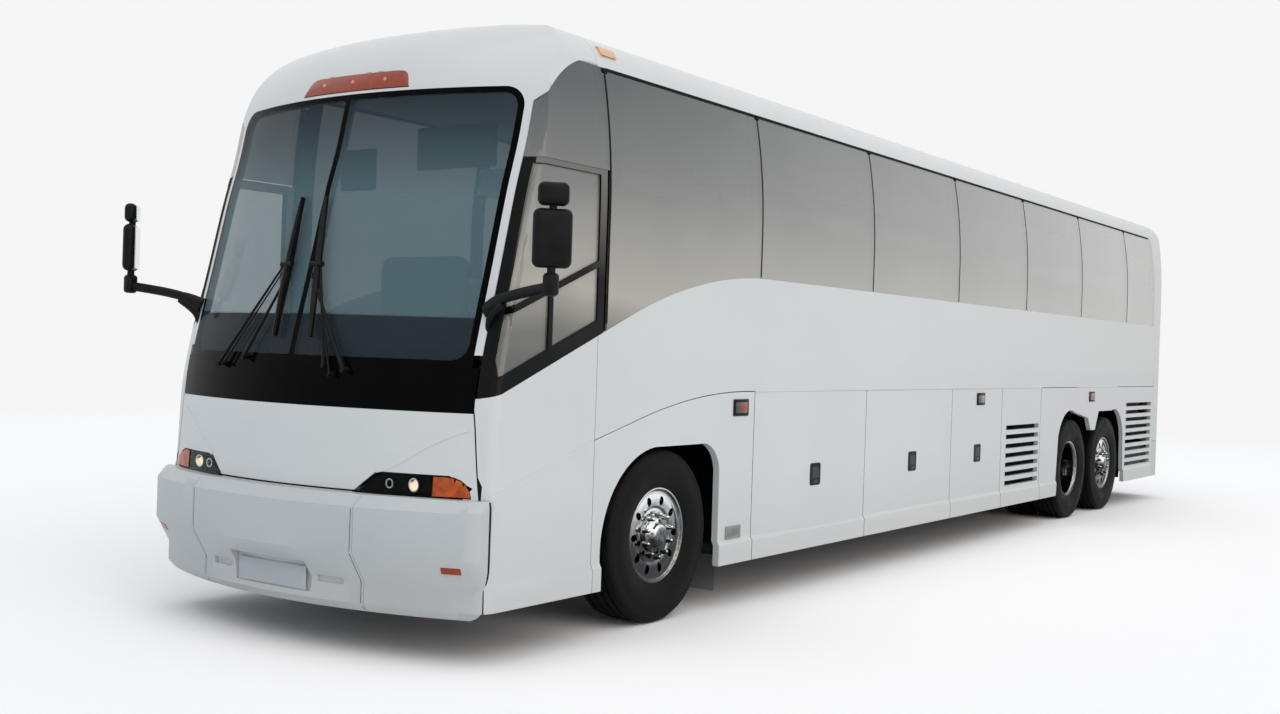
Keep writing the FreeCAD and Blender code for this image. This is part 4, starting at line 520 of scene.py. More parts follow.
def nut_ring(count, circle, radius, height):
    """Node tree: a ring of domed nut covers, with its sizes as named inputs."""
    tree = bpy.data.node_groups.new("nut_ring", "GeometryNodeTree")
    for name, kind, value in (("Count", "NodeSocketInt", count), ("Circle", "NodeSocketFloat", circle),
                              ("Radius", "NodeSocketFloat", radius), ("Height", "NodeSocketFloat", height)):
        tree.interface.new_socket(name, in_out="INPUT", socket_type=kind).default_value = value
    tree.interface.new_socket("Finish", in_out="INPUT", socket_type="NodeSocketMaterial")
    tree.interface.new_socket("Geometry", in_out="OUTPUT", socket_type="NodeSocketGeometry")
    sizes = add_node(tree, "NodeGroupInput").outputs
    ring = add_node(tree, "GeometryNodeMeshCircle", {"Vertices": sizes["Count"], "Radius": sizes["Circle"]})
    top = computed(tree, "MULTIPLY", sizes["Radius"], 0.72)
    cap = add_node(tree, "GeometryNodeMeshCone", {"Vertices": 18, "Radius Bottom": sizes["Radius"],
                                                  "Radius Top": top, "Depth": sizes["Height"]})
    dome = add_node(tree, "GeometryNodeMeshUVSphere", {"Segments": 18, "Rings": 8, "Radius": top})
    lift = add_node(tree, "ShaderNodeCombineXYZ", {"Z": sizes["Height"]})
    raised = add_node(tree, "GeometryNodeTransform", {"Geometry": dome.outputs["Mesh"],
                                                      "Translation": lift.outputs["Vector"]})
    join = add_node(tree, "GeometryNodeJoinGeometry", {"Geometry": cap.outputs["Mesh"]})
    tree.links.new(raised.outputs["Geometry"], join.inputs["Geometry"])
    spread = add_node(tree, "GeometryNodeInstanceOnPoints", {"Points": ring.outputs["Mesh"],
                                                             "Instance": join.outputs["Geometry"]})
    real = add_node(tree, "GeometryNodeRealizeInstances", {"Geometry": spread.outputs["Instances"]})
    skin = add_node(tree, "GeometryNodeSetMaterial", {"Geometry": real.outputs["Geometry"],
                                                      "Material": sizes["Finish"]})
    add_node(tree, "NodeGroupOutput", {"Geometry": skin.outputs["Geometry"]})
    return tree


def nuts(name, centre, side, reach, body):
    """Nut covers of one wheel, as a plain mesh in their place."""
    holder = bpy.data.objects.new(name, bpy.data.meshes.new(name))
    bpy.context.scene.collection.objects.link(holder)
    pattern = holder.modifiers.new("nuts", "NODES")
    pattern.node_group = nuts_tree
    for item in nuts_tree.interface.items_tree:
        if item.name == "Finish":
            pattern[item.identifier] = chrome
    done = bake(holder, pattern)
    done.transform(Matrix.Translation((centre[0] + side * reach, centre[1], centre[2]))
                   @ Matrix.Rotation(math.radians(90 * side), 4, "Y"))
    done.shade_smooth()
    done.set_sharp_from_angle(angle=math.radians(40))
    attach(holder, body)


polished = metal_with_painted_reflection("polished_alloy", (0.06, 0.063, 0.063), (0.90, 0.91, 0.91), 0.08)
chrome = metal_with_painted_reflection("chrome_caps", (0.05, 0.052, 0.055), (0.90, 0.91, 0.91), 0.05)
nuts_tree = nut_ring(10, 0.1315, 0.0185, 0.034)
for side_name, side in SIDES.items():
    for axle, (reach, y) in AXLES.items():
        shape = "deep" if axle == "drive" else "flat"
        disc_reach, disc_cut, nut_reach = DISC_DEPTHS[shape]
        centre = (side * reach, y, AXLE_HEIGHT)
        body = f"wheel_{axle}_{side_name}"
        form = bmesh.new()
        turn_line(form, rounded_line(DISC_LINES[shape], 0.012), centre, side, 96, closed=True)
        finish_form(form, 1e-5)
        disc = place_mesh(f"{body}_disc", form, polished, body, 50.0)
        cut_holes(disc, centre, side, disc_reach, disc_cut)
        disc.data.set_sharp_from_angle(angle=math.radians(40))
        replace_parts(disc, body)
        form = bmesh.new()
        turn_line(form, rounded_line(HUB_LINES[shape], 0.006), centre, side, 48)
        finish_form(form)
        place_mesh(f"{body}_hub_cap", form, chrome, body, 50.0)
        nuts(f"{body}_nuts", centre, side, nut_reach, body)

# Outside mirrors: black moulded arms with webbed feet on the screen pillars. Each carries a tall main
# head and a small wide-angle head above it, glass to the rear.
ARM_FOOT, ARM_END = Vector((1.158, -6.262, 1.835)), Vector((1.676, -6.405, 1.950))
ARM_BENDS = [Vector((1.26, -6.305, 1.885)), Vector((1.42, -6.345, 1.918))]
WEB = [Vector((1.150, -6.255, 1.715)), Vector((1.19, -6.285, 1.80)), Vector((1.30, -6.32, 1.872))]
HEAD_TURN = Matrix.Rotation(math.radians(45), 3, "Z")


def tube(form, points, radii, sides=14, flat=1.0):
    """Round or oval bar through points, closed at both ends."""
    rings = []
    for index, (point, radius) in enumerate(zip(points, radii)):
        ahead = (points[min(index + 1, len(points) - 1)] - points[max(index - 1, 0)]).normalized()
        across = ahead.cross(Vector((0, 0, 1)))
        if across.length < 0.05:
            across = ahead.cross(Vector((0, 1, 0)))
        across.normalize()
        rise = across.cross(ahead)
        angles = [2 * math.pi * step / sides for step in range(sides)]
        rings.append([form.verts.new(point + across * (radius * flat * math.cos(a))
                                     + rise * (radius * math.sin(a))) for a in angles])
    ring_walls(form, rings)


def eased(points, count):
    """Even smooth curve through a few points."""
    line = []
    padded = [points[0]] + list(points) + [points[-1]]
    for index in range(count + 1):
        place = (len(points) - 1) * index / count
        k = min(int(place), len(points) - 2)
        t = place - k
        a, b, c, d = padded[k:k + 4]
        line.append(0.5 * ((2 * b) + (c - a) * t + (2 * a - 5 * b + 4 * c - d) * t * t
                           + (3 * b - a - 3 * c + d) * t ** 3))
    return line


def flipped(form):
    """Add the mirror image of a form across the bus's middle."""
    copy = bmesh.ops.duplicate(form, geom=form.verts[:] + form.edges[:] + form.faces[:])
    for item in copy["geom"]:
        if isinstance(item, bmesh.types.BMVert):
            item.co.x = -item.co.x


def about_arm(form, half, y_low, y_high, z_low, z_high, soften, steps, turn=None):
    """Box centred on the end of a mirror arm, which may be turned with the mirror's head."""
    x, y = ARM_END.xy
    add_box(form, (x - half, y + y_low, z_low), (x + half, y + y_high, z_high), soften, steps, turn, ARM_END)


black_moulding = coat("black_moulding", (0.004, 0.004, 0.0045), (0.010, 0.010, 0.011), 0.32, 0.45, scale=12.0,
                      grain=0.12, sheer=0.12)
mirror_glass = coat("mirror_glass", (0.68, 0.70, 0.72), (0.72, 0.74, 0.76), 0.02, 0.03, metal=1.0, scale=4.0)
form_heads, form_panes = bmesh.new(), bmesh.new()
arm = eased([ARM_FOOT] + ARM_BENDS + [ARM_END], 20)
tube(form_heads, arm, [0.052 - 0.024 * min(1.0, i / 8) for i in range(len(arm))], 16, 0.72)
tube(form_heads, eased(WEB, 12), [0.030 - 0.010 * i / 12 for i in range(13)], 12, 0.6)
about_arm(form_heads, 0.034, -0.036, 0.036, 1.905, 2.02, 0.022, 4)
tube(form_heads, [Vector((ARM_END.x, ARM_END.y, z)) for z in (1.98, 2.06, 2.36)], [0.024, 0.02, 0.02])
about_arm(form_heads, 0.098, -0.042, 0.034, 2.042, 2.334, 0.036, 6, HEAD_TURN)
about_arm(form_heads, 0.078, -0.040, 0.030, 2.346, 2.463, 0.032, 6, HEAD_TURN)
for low, high, half in ((2.058, 2.318, 0.082), (2.358, 2.452, 0.064)):
    about_arm(form_panes, half, 0.031, 0.0365, low, high, 0.002, 1, HEAD_TURN)
for form in (form_heads, form_panes):
    flipped(form)
    finish_form(form)
mirrors = place_mesh("mirror_arms_and_heads", form_heads, black_moulding, "body", 40.0)
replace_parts(mirrors, "mirrors")
place_mesh("mirror_panes", form_panes, mirror_glass, "body", 40.0)

# Wipers: two parked upright beside the divider. Each blade hangs from a tapered arm and a thin
# guide rod, both pivoting on the black valance.
SCREEN_LEAN = math.tan(math.radians(14.1))
FRONT_BOW = 3.0
BLADE_FOOT, BLADE_LENGTH, BLADE_STEPS = 1.668, 0.787, 16
BLADE_MIDDLE = 2.07
ROD_RADII = (0.008, 0.005, 0.009)
# Blade's top and foot, the feet of its rods across the bus, their heights, and the way the rods fan out.
WIPERS = ((-0.165, -0.135, (-0.630, -0.575, -0.378), (1.500, 1.505, 1.545), 1),
          (0.031, 0.152, (0.290, 0.345, 0.430), (1.52, 1.47, 1.50), -1))


def before_screen(x, z, off):
    """Point a little in front of the windshield."""
    bow = FRONT_BOW - math.sqrt(FRONT_BOW ** 2 - x * x)
    return Vector((x, -6.59 + (z - 1.45) * SCREEN_LEAN + bow - off, z))


form = bmesh.new()
for top_x, low_x, feet, drops, fan in WIPERS:
    middle_x = (top_x + low_x) / 2
    steps = range(BLADE_STEPS + 1)
    blade = [before_screen(low_x + (top_x - low_x) * t, BLADE_FOOT + BLADE_LENGTH * t, 0.034)
             for t in [i / BLADE_STEPS for i in steps]]
    swell = [0.009 + 0.019 * math.sin(math.pi * (i + 0.6) / 17) ** 0.7 for i in steps]
    tube(form, blade, swell, 8, 0.75)
    tube(form, [p + Vector((0, 0.018, 0)) for p in blade], [0.006] * len(blade), 6, 0.6)
    for index, (x, drop, thick) in enumerate(zip(feet, drops, ROD_RADII)):
        foot = before_screen(x, drop, 0.030)
        hang = before_screen(middle_x + (index - 1) * 0.028 * fan, BLADE_MIDDLE - 0.05 * (index == 2), 0.042)
        tube(form, [foot, foot.lerp(hang, 0.5), hang], [thick * 1.25, thick, thick * 0.7], 10)
        tube(form, [foot + Vector((0, -0.012, -0.004)), foot + Vector((0, 0.034, 0.004))], [thick * 1.5] * 2)
    bracket = [before_screen(middle_x + d, BLADE_MIDDLE, 0.046) for d in (-0.045, 0.045)]
    tube(form, bracket, [0.016, 0.016], 12)
finish_form(form)
wipers = place_mesh("wiper_blades_and_arms", form, black_moulding, "body", 40.0)
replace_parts(wipers, "wipers")

# Head lamps: swept lamp units let into the nose. A black bezel and a black bucket with a bright
# projector sit behind a clear cover, with an amber turn signal outboard.
LAMP_START, TURN_START, LAMP_END = 0.526, 0.985, 1.1805
LAMP_TOP = ((0.522, 0.866), (0.655, 0.974), (1.04, 0.976), (1.09, 0.971), (1.125, 0.958), (1.15, 0.939),
            (1.168, 0.913), (1.178, 0.885), (1.1815, 0.868))
LAMP_FOOT = ((0.522, 0.863), (1.1815, 0.864))
LAMP_AXIS = 0.918
PROJECTORS = ((0.865, 0.036, True), (0.728, 0.026, False))


def faces_of(*nodes):
    """Search tree over CAD nodes, for setting small pieces on their surface."""
    form = bmesh.new()
    for node in nodes:
        form.from_mesh(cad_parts[node].data)
    tree = BVHTree.FromBMesh(form)
    form.free()
    return tree


def met_from_front(faces, x, z):
    """Where a level line from in front of the bus meets a surface, or None."""
    return faces.ray_cast(Vector((x, -8.0, z)), Vector((0, 1, 0)))[0]


def level_at(line, x):
    """Height of a broken line at a place across the bus."""
    for (x0, z0), (x1, z1) in zip(line, line[1:]):
        if x <= x1:
            return z0 + (z1 - z0) * (x - x0) / (x1 - x0)
    return line[-1][1]


def close_skins(form, front, back):
    """Join two grids of points, one before the other, into a closed slab."""
    columns, rows = len(front) - 1, len(front[0]) - 1
    for i in range(columns):
        for j in range(rows):
            form.faces.new((front[i][j], front[i + 1][j], front[i + 1][j + 1], front[i][j + 1]))
            form.faces.new((back[i][j + 1], back[i + 1][j + 1], back[i + 1][j], back[i][j]))
        for j in (0, rows):
            form.faces.new((front[i][j], front[i + 1][j], back[i + 1][j], back[i][j]))
    for i in (0, columns):
        for j in range(rows):
            form.faces.new((front[i][j], front[i][j + 1], back[i][j + 1], back[i][j]))


def lamp_slab(form, x_low, x_high, near, far, bottom=0.0, top=1.0, inset=0.0, columns=40, rows=6):
    """Slab that follows the lamp's swept face, between two depths and two shares of its height."""
    for side in (1, -1):
        skins = []
        for depth in (near, far):
            skin = []
            for i in range(columns + 1):
                x = x_low + (x_high - x_low) * i / columns
                low, high = level_at(LAMP_FOOT, x) + inset, level_at(LAMP_TOP, x) - inset
                high = max(high, low + 0.0006)
                line = []
                for j in range(rows + 1):
                    z = low + (high - low) * (bottom + (top - bottom) * j / rows)
                    hit = met_from_front(lamp_faces, side * x, z)
                    y = hit.y if hit else -6.36
                    line.append(form.verts.new((side * x, min(y, -6.366) + depth, z)))
                skin.append(line)
            skins.append(skin)
        close_skins(form, *skins)


def turned_part(form, line, place, ahead, segments):
    """Turned part set on its place, with its outer face turned one way."""
    form.verts.ensure_lookup_table()
    start = len(form.verts)
    turn_line(form, line, (0, 0, 0), 1, segments)
    form.verts.ensure_lookup_table()
    turn = Vector((1, 0, 0)).rotation_difference(Vector(ahead)).to_matrix()
    for vert in form.verts[start:]:
        vert.co = turn @ vert.co + Vector(place)


lamp_clear, tree, surface = new_material("lamp_cover")
haze = add_node(tree, "ShaderNodeTexNoise", {
    "Scale": 9.0, "Vector": add_node(tree, "ShaderNodeTexCoord").outputs["Object"]})
set_inputs(tree, surface, {"Transmission Weight": 1.0, "IOR": 1.12,
                           "Roughness": ranged(tree, haze.outputs["Fac"], 0.0, 1.0, 0.0, 0.04)})
amber_lens = coat("amber_lens", (0.34, 0.042, 0.003), (0.66, 0.115, 0.008), 0.10, clear=0.25, scale=24.0,
                  sheer=0.2)
lamp_glow = coat("lamp_glow", (0.95, 0.85, 0.7), (1.0, 0.93, 0.8), 0.1, scale=40.0)
set_inputs(lamp_glow.node_tree, lamp_glow.node_tree.nodes["Principled BSDF"], {
    "Emission Color": (1.0, 0.72, 0.40, 1), "Emission Strength": 0.8})
lamp_faces = faces_of("headlamps", "nose_panel")
form_cover, form_amber, form_bucket, form_ring, form_glass = (bmesh.new() for _ in range(5))
lamp_slab(form_cover, 0.524, TURN_START - 0.004, 0.0, 0.004)
lamp_slab(form_amber, TURN_START, 1.1775, -0.0035, 0.012, inset=0.006)
lamp_slab(form_bucket, LAMP_START, LAMP_END, 0.006, 0.06, top=0.10)
lamp_slab(form_bucket, LAMP_START, LAMP_END, 0.006, 0.06, bottom=0.88)
lamp_slab(form_bucket, LAMP_START, TURN_START, 0.052, 0.10)
lamp_slab(form_bucket, TURN_START - 0.004, 1.1812, -0.0015, 0.02)
lamp_slab(form_bucket, TURN_START - 0.016, TURN_START - 0.003, 0.0055, 0.06, columns=2)
for side in (1, -1):
    for x, size, lit in PROJECTORS:
        place = (side * x, met_from_front(lamp_faces, side * x, LAMP_AXIS).y + 0.050, LAMP_AXIS)
        rim = [(0.0, size), (0.030, size), (0.030, size - 0.006), (0.006, size - 0.010)]
        turned_part(form_ring, rim, place, (0, -1, 0), 32)
        if lit:
            angles = [math.pi / 2 * i / 6 for i in range(7)]
            dome = [(0.004 + 0.016 * math.cos(a), (size - 0.008) * math.sin(a)) for a in angles]
            turned_part(form_glass, dome, place, (0, -1, 0), 32)
for name, form, look, smooth in (("lamp_covers", form_cover, lamp_clear, 30.0),
                                 ("turn_signals", form_amber, amber_lens, 30.0),
                                 ("lamp_buckets", form_bucket, black_gloss, 30.0),
                                 ("lamp_projector_rings", form_ring, chrome, 40.0),
                                 ("lamp_projector_glass", form_glass, lamp_glow, 60.0)):
    finish_form(form)
    piece = place_mesh(name, form, look, "body", smooth)
    if name == "lamp_covers":
        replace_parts(piece, "headlamps")

# Side markers and docking lamps: small units with softened rims, screwed to the panels and to the third
# luggage doors. Markers have a dark red lens with an amber spot, docking lamps a clear one in grey.
SIDE_FACE = 1.2803
MARKER_HALF, MARKER_TALL, MARKER_LEVEL = 0.095, 0.055, 1.30
DOOR_MARKER_Y, DOOR_MARKER_LEVEL = 0.398, 1.31


def side_block(form, side, face, proud, y_low, y_high, z_low, z_high, soften=0.004):
    """Softened block standing proud of one side of the bus."""
    ends = sorted((side * face, side * (face + proud)))
    add_box(form, (ends[0], y_low, z_low), (ends[1], y_high, z_high), soften, 2)


def marker_block(form, side, y, z, half, tall, proud):
    """Block of a side marker about its middle."""
    side_block(form, side, SIDE_FACE, proud, y - half, y + half, z - tall, z + tall)


red_lens = coat("red_lens", (0.045, 0.004, 0.003), (0.11, 0.012, 0.008), 0.10, clear=0.8, scale=24.0)
docking_grey = coat("docking_grey", (0.22, 0.23, 0.225), (0.34, 0.355, 0.35), 0.35, 0.5, scale=30.0)
form_bezel, form_amber, form_red, form_clear, form_grey = (bmesh.new() for _ in range(5))
for side in (1, -1):
    for y in (-3.872, 3.729):
        marker_block(form_bezel, side, y, MARKER_LEVEL, MARKER_HALF, MARKER_TALL, 0.008)
        marker_block(form_red, side, y, MARKER_LEVEL, 0.074, 0.036, 0.0102)
        marker_block(form_amber, side, y + 0.042, MARKER_LEVEL, 0.026, 0.026, 0.0116)
    side_block(form_grey, side, SIDE_FACE, 0.008, -4.02, -3.83, 0.447, 0.531)
    side_block(form_clear, side, SIDE_FACE, 0.0112, -4.002, -3.848, 0.462, 0.516)
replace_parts(place_mesh("marker_bezels", form_bezel, black_moulding, "body"), "body_lamps")
place_mesh("marker_lenses_amber", form_amber, amber_lens, "body")
place_mesh("marker_lenses_red", form_red, red_lens, "body")
place_mesh("docking_bezels", form_grey, docking_grey, "body")
place_mesh("docking_lenses", form_clear, lamp_clear, "body")
for name, side in SIDES.items():
    for title, half, tall, proud, look in (("bezel", MARKER_HALF, MARKER_TALL, 0.008, black_moulding),
                                           ("lens", 0.070, 0.034, 0.0112, red_lens)):
        form = bmesh.new()
        marker_block(form, side, DOOR_MARKER_Y, DOOR_MARKER_LEVEL, half, tall, proud)
        place_mesh(f"door_marker_{title}_{name}", form, look, f"luggage_door_{name}_3")

# Long marker over the windshield and two short ones at the roof's corners: orange lenses let into the
# cap, the long one in a black gasket with three bright lamps behind it.
ROOF_LAMP_HALF, ROOF_LAMP_FOOT, ROOF_LAMP_HEAD = 0.420, 3.077, 3.178
ROOF_LAMP_SQUARE = 18
CAP_BELOW, CAP_ABOVE = 3.066, 3.196
DIODE_LEVEL, DIODE_LINE = 3.128, [(0.0, 0.013), (0.003, 0.010), (0.0045, 0.0)]


def part_of(node, keep):
    """Form made of those separate solids of a CAD node whose middle passes a test."""
    form = bmesh.new()
    form.from_mesh(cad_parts[node].data)
    bmesh.ops.remove_doubles(form, verts=form.verts, dist=CAD_MERGE)
    seen, dropped = set(), []
    for start in form.verts:
        if start in seen:
            continue
        group, waiting = [], [start]
        seen.add(start)
        while waiting:
            vert = waiting.pop()
            group.append(vert)
            for edge in vert.link_edges:
                other = edge.other_vert(vert)
                if other not in seen:
                    seen.add(other)
                    waiting.append(other)
        if not keep(sum((v.co for v in group), Vector()) / len(group)):
            dropped += group
    bmesh.ops.delete(form, geom=dropped, context="VERTS")
    return form


def cap_depth(x, z):
    """Depth of the cap's face under the long marker, from the face just below and above it."""
    low, high = (met_from_front(cap_faces, x, level).y for level in (CAP_BELOW, CAP_ABOVE))
    return low + (high - low) * (z - CAP_BELOW) / (CAP_ABOVE - CAP_BELOW)


def swept_lens(form, grow, proud, dome, columns=64, rows=8):
    """Lens with rounded ends on the cap, its outline grown by a margin and its face domed."""
    half = ROOF_LAMP_HALF + grow
    foot, head = ROOF_LAMP_FOOT - grow, ROOF_LAMP_HEAD + grow
    skins = [[], []]
    for i in range(columns + 1):
        x = -half * math.cos(math.pi * i / columns)
        share = max(1e-4, 1 - (abs(x) / half) ** ROOF_LAMP_SQUARE)
        high = max(ROOF_LAMP_FOOT + (head - ROOF_LAMP_FOOT) * share, foot + 0.001)
        for skin, front in zip(skins, (True, False)):
            line = []
            for j in range(rows + 1):
                z = foot + (high - foot) * j / rows
                swell = proud + dome * math.sin(math.pi * j / rows) * share
                line.append(form.verts.new((x, cap_depth(x, z) + (-swell if front else 0.004), z)))
            skin.append(line)
    close_skins(form, *skins)


orange_lens = coat("orange_lens", (0.28, 0.034, 0.012), (0.38, 0.055, 0.020), 0.12, clear=0.3, scale=24.0,
                   sheer=0.3)
pale_amber = coat("pale_amber", (0.75, 0.32, 0.14), (0.88, 0.45, 0.24), 0.12, clear=0.8, scale=30.0)
diode = coat("diode", (0.85, 0.22, 0.10), (0.95, 0.32, 0.16), 0.15, clear=0.5, scale=60.0)
cap_faces = faces_of("front_cap")
form_short = part_of("body_lamps", lambda at: abs(at.x) > 0.3 and at.z > 3.0 and at.y < 0)
form_gasket, form_lens, form_diodes = (bmesh.new() for _ in range(3))
swept_lens(form_gasket, 0.005, 0.0015, 0.0)
swept_lens(form_lens, 0.0, 0.004, 0.008)
for x in (-0.245, 0.0, 0.245):
    turned_part(form_diodes, DIODE_LINE, (x, cap_depth(x, DIODE_LEVEL) - 0.0115, DIODE_LEVEL), (0, -1, 0), 16)
for name, form, look, smooth in (("roof_marker_lenses", form_short, pale_amber, 24.0),
                                 ("roof_lamp_gasket", form_gasket, black_moulding, 24.0),
                                 ("roof_lamp_lens", form_lens, orange_lens, 24.0),
                                 ("roof_lamp_diodes", form_diodes, diode, 50.0)):
    finish_form(form, 1e-6)
    place_mesh(name, form, look, "body", smooth)

# Gaskets of the side glass: thin black rubber strips pressed into the seams between the panes and along
# their upper edges, with a clip at the head of each seam.
SEAM_START, SEAM_PITCH = -5.39, 1.73
SEAM_HEAD, SEAM_FOOT, FIRST_SEAM_FOOT = 3.238, 2.165, 1.80


def strip(form, faces, path, look, half, proud, shift=(0, 0, 0)):
    """Low strip laid on the bus's skin where a line of sight from each point of a path meets it."""
    look = Vector(look)
    spine = []
    for point in path:
        spot, facing = faces.ray_cast(Vector(point), look)[:2]
        if spot:
            spine.append((spot + Vector(shift), facing if facing.dot(look) < 0 else -facing))
    sections = []
    for index, (spot, facing) in enumerate(spine):
        ahead = spine[min(index + 1, len(spine) - 1)][0] - spine[max(index - 1, 0)][0]
        across = ahead.cross(facing).normalized() * half
        sections.append([form.verts.new(spot + across * a + facing * b) for a, b in
                         ((-1, -0.001), (-1, proud), (1, proud), (1, -0.001))])
    ring_walls(form, sections)


form = bmesh.new()
glass_faces = faces_of("side_glass")
for side in (1, -1):
    look = (-side, 0, 0)
    for number in range(7):
        y = SEAM_START + SEAM_PITCH * number
        drop = SEAM_HEAD - (SEAM_FOOT if number else FIRST_SEAM_FOOT)
        path = [(side * 2.0, y + 0.006, SEAM_HEAD - drop * k / 40) for k in range(41)]
        strip(form, glass_faces, path, look, 0.008, 0.0008, (0, -0.006, 0))
        side_block(form, side, 1.196, 0.013, y - 0.024, y + 0.024, 3.218, 3.246, 0.003)
    path = [(side * 2.0, -5.37 + 11.64 * k / 60, 3.236) for k in range(61)]
    strip(form, glass_faces, path, look, 0.010, 0.0008, (0, 0, 0.006))
finish_form(form, 1e-6)
place_mesh("glass_gaskets", form, rubber_and_gap_shade, "body", 30.0)

# Latches of the luggage doors: black moulded plates with rounded corners, screwed over a hole in the
# door, each with a pull lever over a small lock.
LATCH_PLACES = ((1, -2.790, 0.805), (2, -1.085, 0.817), (3, 0.354, 0.822))


def side_plate(form, side, place, half, radius, near, far, steps=5):
    """Flat plate with rounded corners on a side face, slightly narrower at its outer face."""
    rings = []
    for x, shrink in ((near, 0.0), (far - 0.0015, 0.0), (far, 0.0015)):
        ring = []
        for corner, (a, b) in enumerate(((1, 1), (-1, 1), (-1, -1), (1, -1))):
            for step in range(steps + 1):
                angle = math.pi / 2 * (corner + step / steps)
                y = place[0] + a * (half[0] - radius) + (radius - shrink) * math.cos(angle)
                z = place[1] + b * (half[1] - radius) + (radius - shrink) * math.sin(angle)
                ring.append(form.verts.new((side * x, y, z)))
        rings.append(ring)
    ring_walls(form, rings)


latch_grey = coat("latch_grey", (0.008, 0.009, 0.010), (0.018, 0.020, 0.021), 0.35, 0.5, scale=30.0)
for name, side in SIDES.items():
    for number, y, z in LATCH_PLACES:
        door = f"luggage_door_{name}_{number}"
        form_plate, form_lever = bmesh.new(), bmesh.new()
        side_plate(form_plate, side, (y, z), (0.080, 0.080), 0.020, 1.2797, 1.2830)
        side_plate(form_lever, side, (y, z + 0.012), (0.052, 0.040), 0.014, 1.2825, 1.2850)
        side_plate(form_lever, side, (y + 0.010, z - 0.052), (0.032, 0.012), 0.008, 1.2825, 1.2850)
        for title, form, look in (("plate", form_plate, black_moulding), ("lever", form_lever, latch_grey)):
            finish_form(form, 1e-6)
            place_mesh(f"latch_{title}_{name}_{number}", form, look, door, 30.0)

# Plate: a blank sheet of pressed aluminium, painted pale grey, screwed into the pocket of the bumper.
# It carries no lettering.
plate_white = coat("plate_white", (0.47, 0.49, 0.51), (0.51, 0.53, 0.55), 0.40, 0.5, scale=4.0, sheer=0.3)
form = bmesh.new()
add_box(form, (-0.270, -6.646, 0.318), (0.270, -6.642, 0.446), 0.0015, 2)
finish_form(form, 1e-6)
place_mesh("blank_plate", form, plate_white, "body", 30.0)

# Bumper joints: a thin rubber line in each seam of the bumper, a rubber seal in the gap between bumper
# and side panel, and an orange reflector glued on each corner.
# The seam lines and the deep black corner seal also stand in for the shadow in the gaps: partly painted
# shadow.
CORNER_SEAL_FRONT, CORNER_SEAL_BACK, CORNER_SEAL_DEEP = -6.3625, -6.346, 0.09
bumper_faces = faces_of("front_bumper")
form_line, form_orange = bmesh.new(), bmesh.new()
for side in (1, -1):
    seam = [(side * (0.63 - 0.004 * k / 28), -8.0, 0.79 - 0.54 * k / 28) for k in range(29)]
    strip(form_line, bumper_faces, seam, (0, 1, 0), 0.0016, 0.0005)
    reflector = [(side * (1.707 + 0.0165 * k), -7.304 + 0.040 * k / 6, 0.506) for k in range(7)]
    strip(form_orange, bumper_faces, reflector, (-side * 0.6, 0.8, 0), 0.019, 0.004)
    seal = []
    for k in range(24):
        z = 0.255 + 0.60 * k / 23
        spot = bumper_faces.ray_cast(Vector((side * 2.0, -6.368, z)), Vector((-side, 0, 0)))[0]
        if spot:
            outer = abs(spot.x) - 0.0015
            inner = outer - CORNER_SEAL_DEEP
            corners = ((outer, CORNER_SEAL_FRONT), (outer, CORNER_SEAL_BACK), (inner, CORNER_SEAL_BACK),
                       (inner, CORNER_SEAL_FRONT))
            seal.append([form_line.verts.new((side * x, y, z)) for x, y in corners])
    ring_walls(form_line, seal)
finish_form(form_line, 1e-6)
finish_form(form_orange, 1e-6)
place_mesh("bumper_seams_and_seals", form_line, rubber_and_gap_shade, "body", 30.0)
place_mesh("bumper_reflectors", form_orange, orange_lens, "body", 30.0)

# Creases of the body: soft ridges pressed into the nose above the head lamps and into the front sides,
# painted with the panel, and a rubber gasket between nose and bumper.
NOSE_CREASE = ((0.66, 0.985), (0.72, 1.005), (0.795, 1.044), (0.87, 1.093), (0.953, 1.141), (1.05, 1.188),
               (1.15, 1.227))
SIDE_CREASE = ((-6.345, 0.862), (-6.11, 0.936), (-5.90, 1.004), (-5.689, 1.069), (-5.475, 1.129))
NOSE_FOOT = 0.868
nose_faces, front_side_faces = faces_of("nose_panel"), faces_of("front_side_panels")
form_crease, form_gasket = bmesh.new(), bmesh.new()
for side in (1, -1):
    bend = eased([Vector((side * x, -8.0, z)) for x, z in NOSE_CREASE], 40)
    strip(form_crease, nose_faces, bend, (0, 1, 0), 0.016, 0.0045)
    bend = eased([Vector((side * 2.0, y, z)) for y, z in SIDE_CREASE], 40)
    strip(form_crease, front_side_faces, bend, (-side, 0, 0), 0.014, 0.0035)
# The black gasket over the bumper also stands in for the shade in that seam: partly painted shade.
nose_edge = [(-1.17 + 2.34 * k / 80, -8.0, NOSE_FOOT) for k in range(81)]
strip(form_gasket, nose_faces, nose_edge, (0, 1, 0), 0.0045, 0.0008)
finish_form(form_crease, 1e-6)
finish_form(form_gasket, 1e-6)
place_mesh("body_creases", form_crease, white_paint, "body", 60.0)
place_mesh("nose_gasket", form_gasket, rubber_and_gap_shade, "body", 30.0)

# Mud flaps behind the front wheels: thin sheets of half clear grey plastic, hung from the edge of the
# wheel house on a few screws.
flap_sheet = coat("flap_sheet", (0.045, 0.046, 0.047), (0.07, 0.071, 0.072), 0.6, 0.8, scale=6.0, sheer=0.1)
flap_sheet.node_tree.nodes["Principled BSDF"].inputs["Alpha"].default_value = 0.30
form = bmesh.new()
for side in (1, -1):
    side_block(form, side, 0.96, 0.275, -4.066, -4.060, 0.115, 0.42, 0.002)
place_mesh("mud_flaps", form, flap_sheet, "body", 30.0)

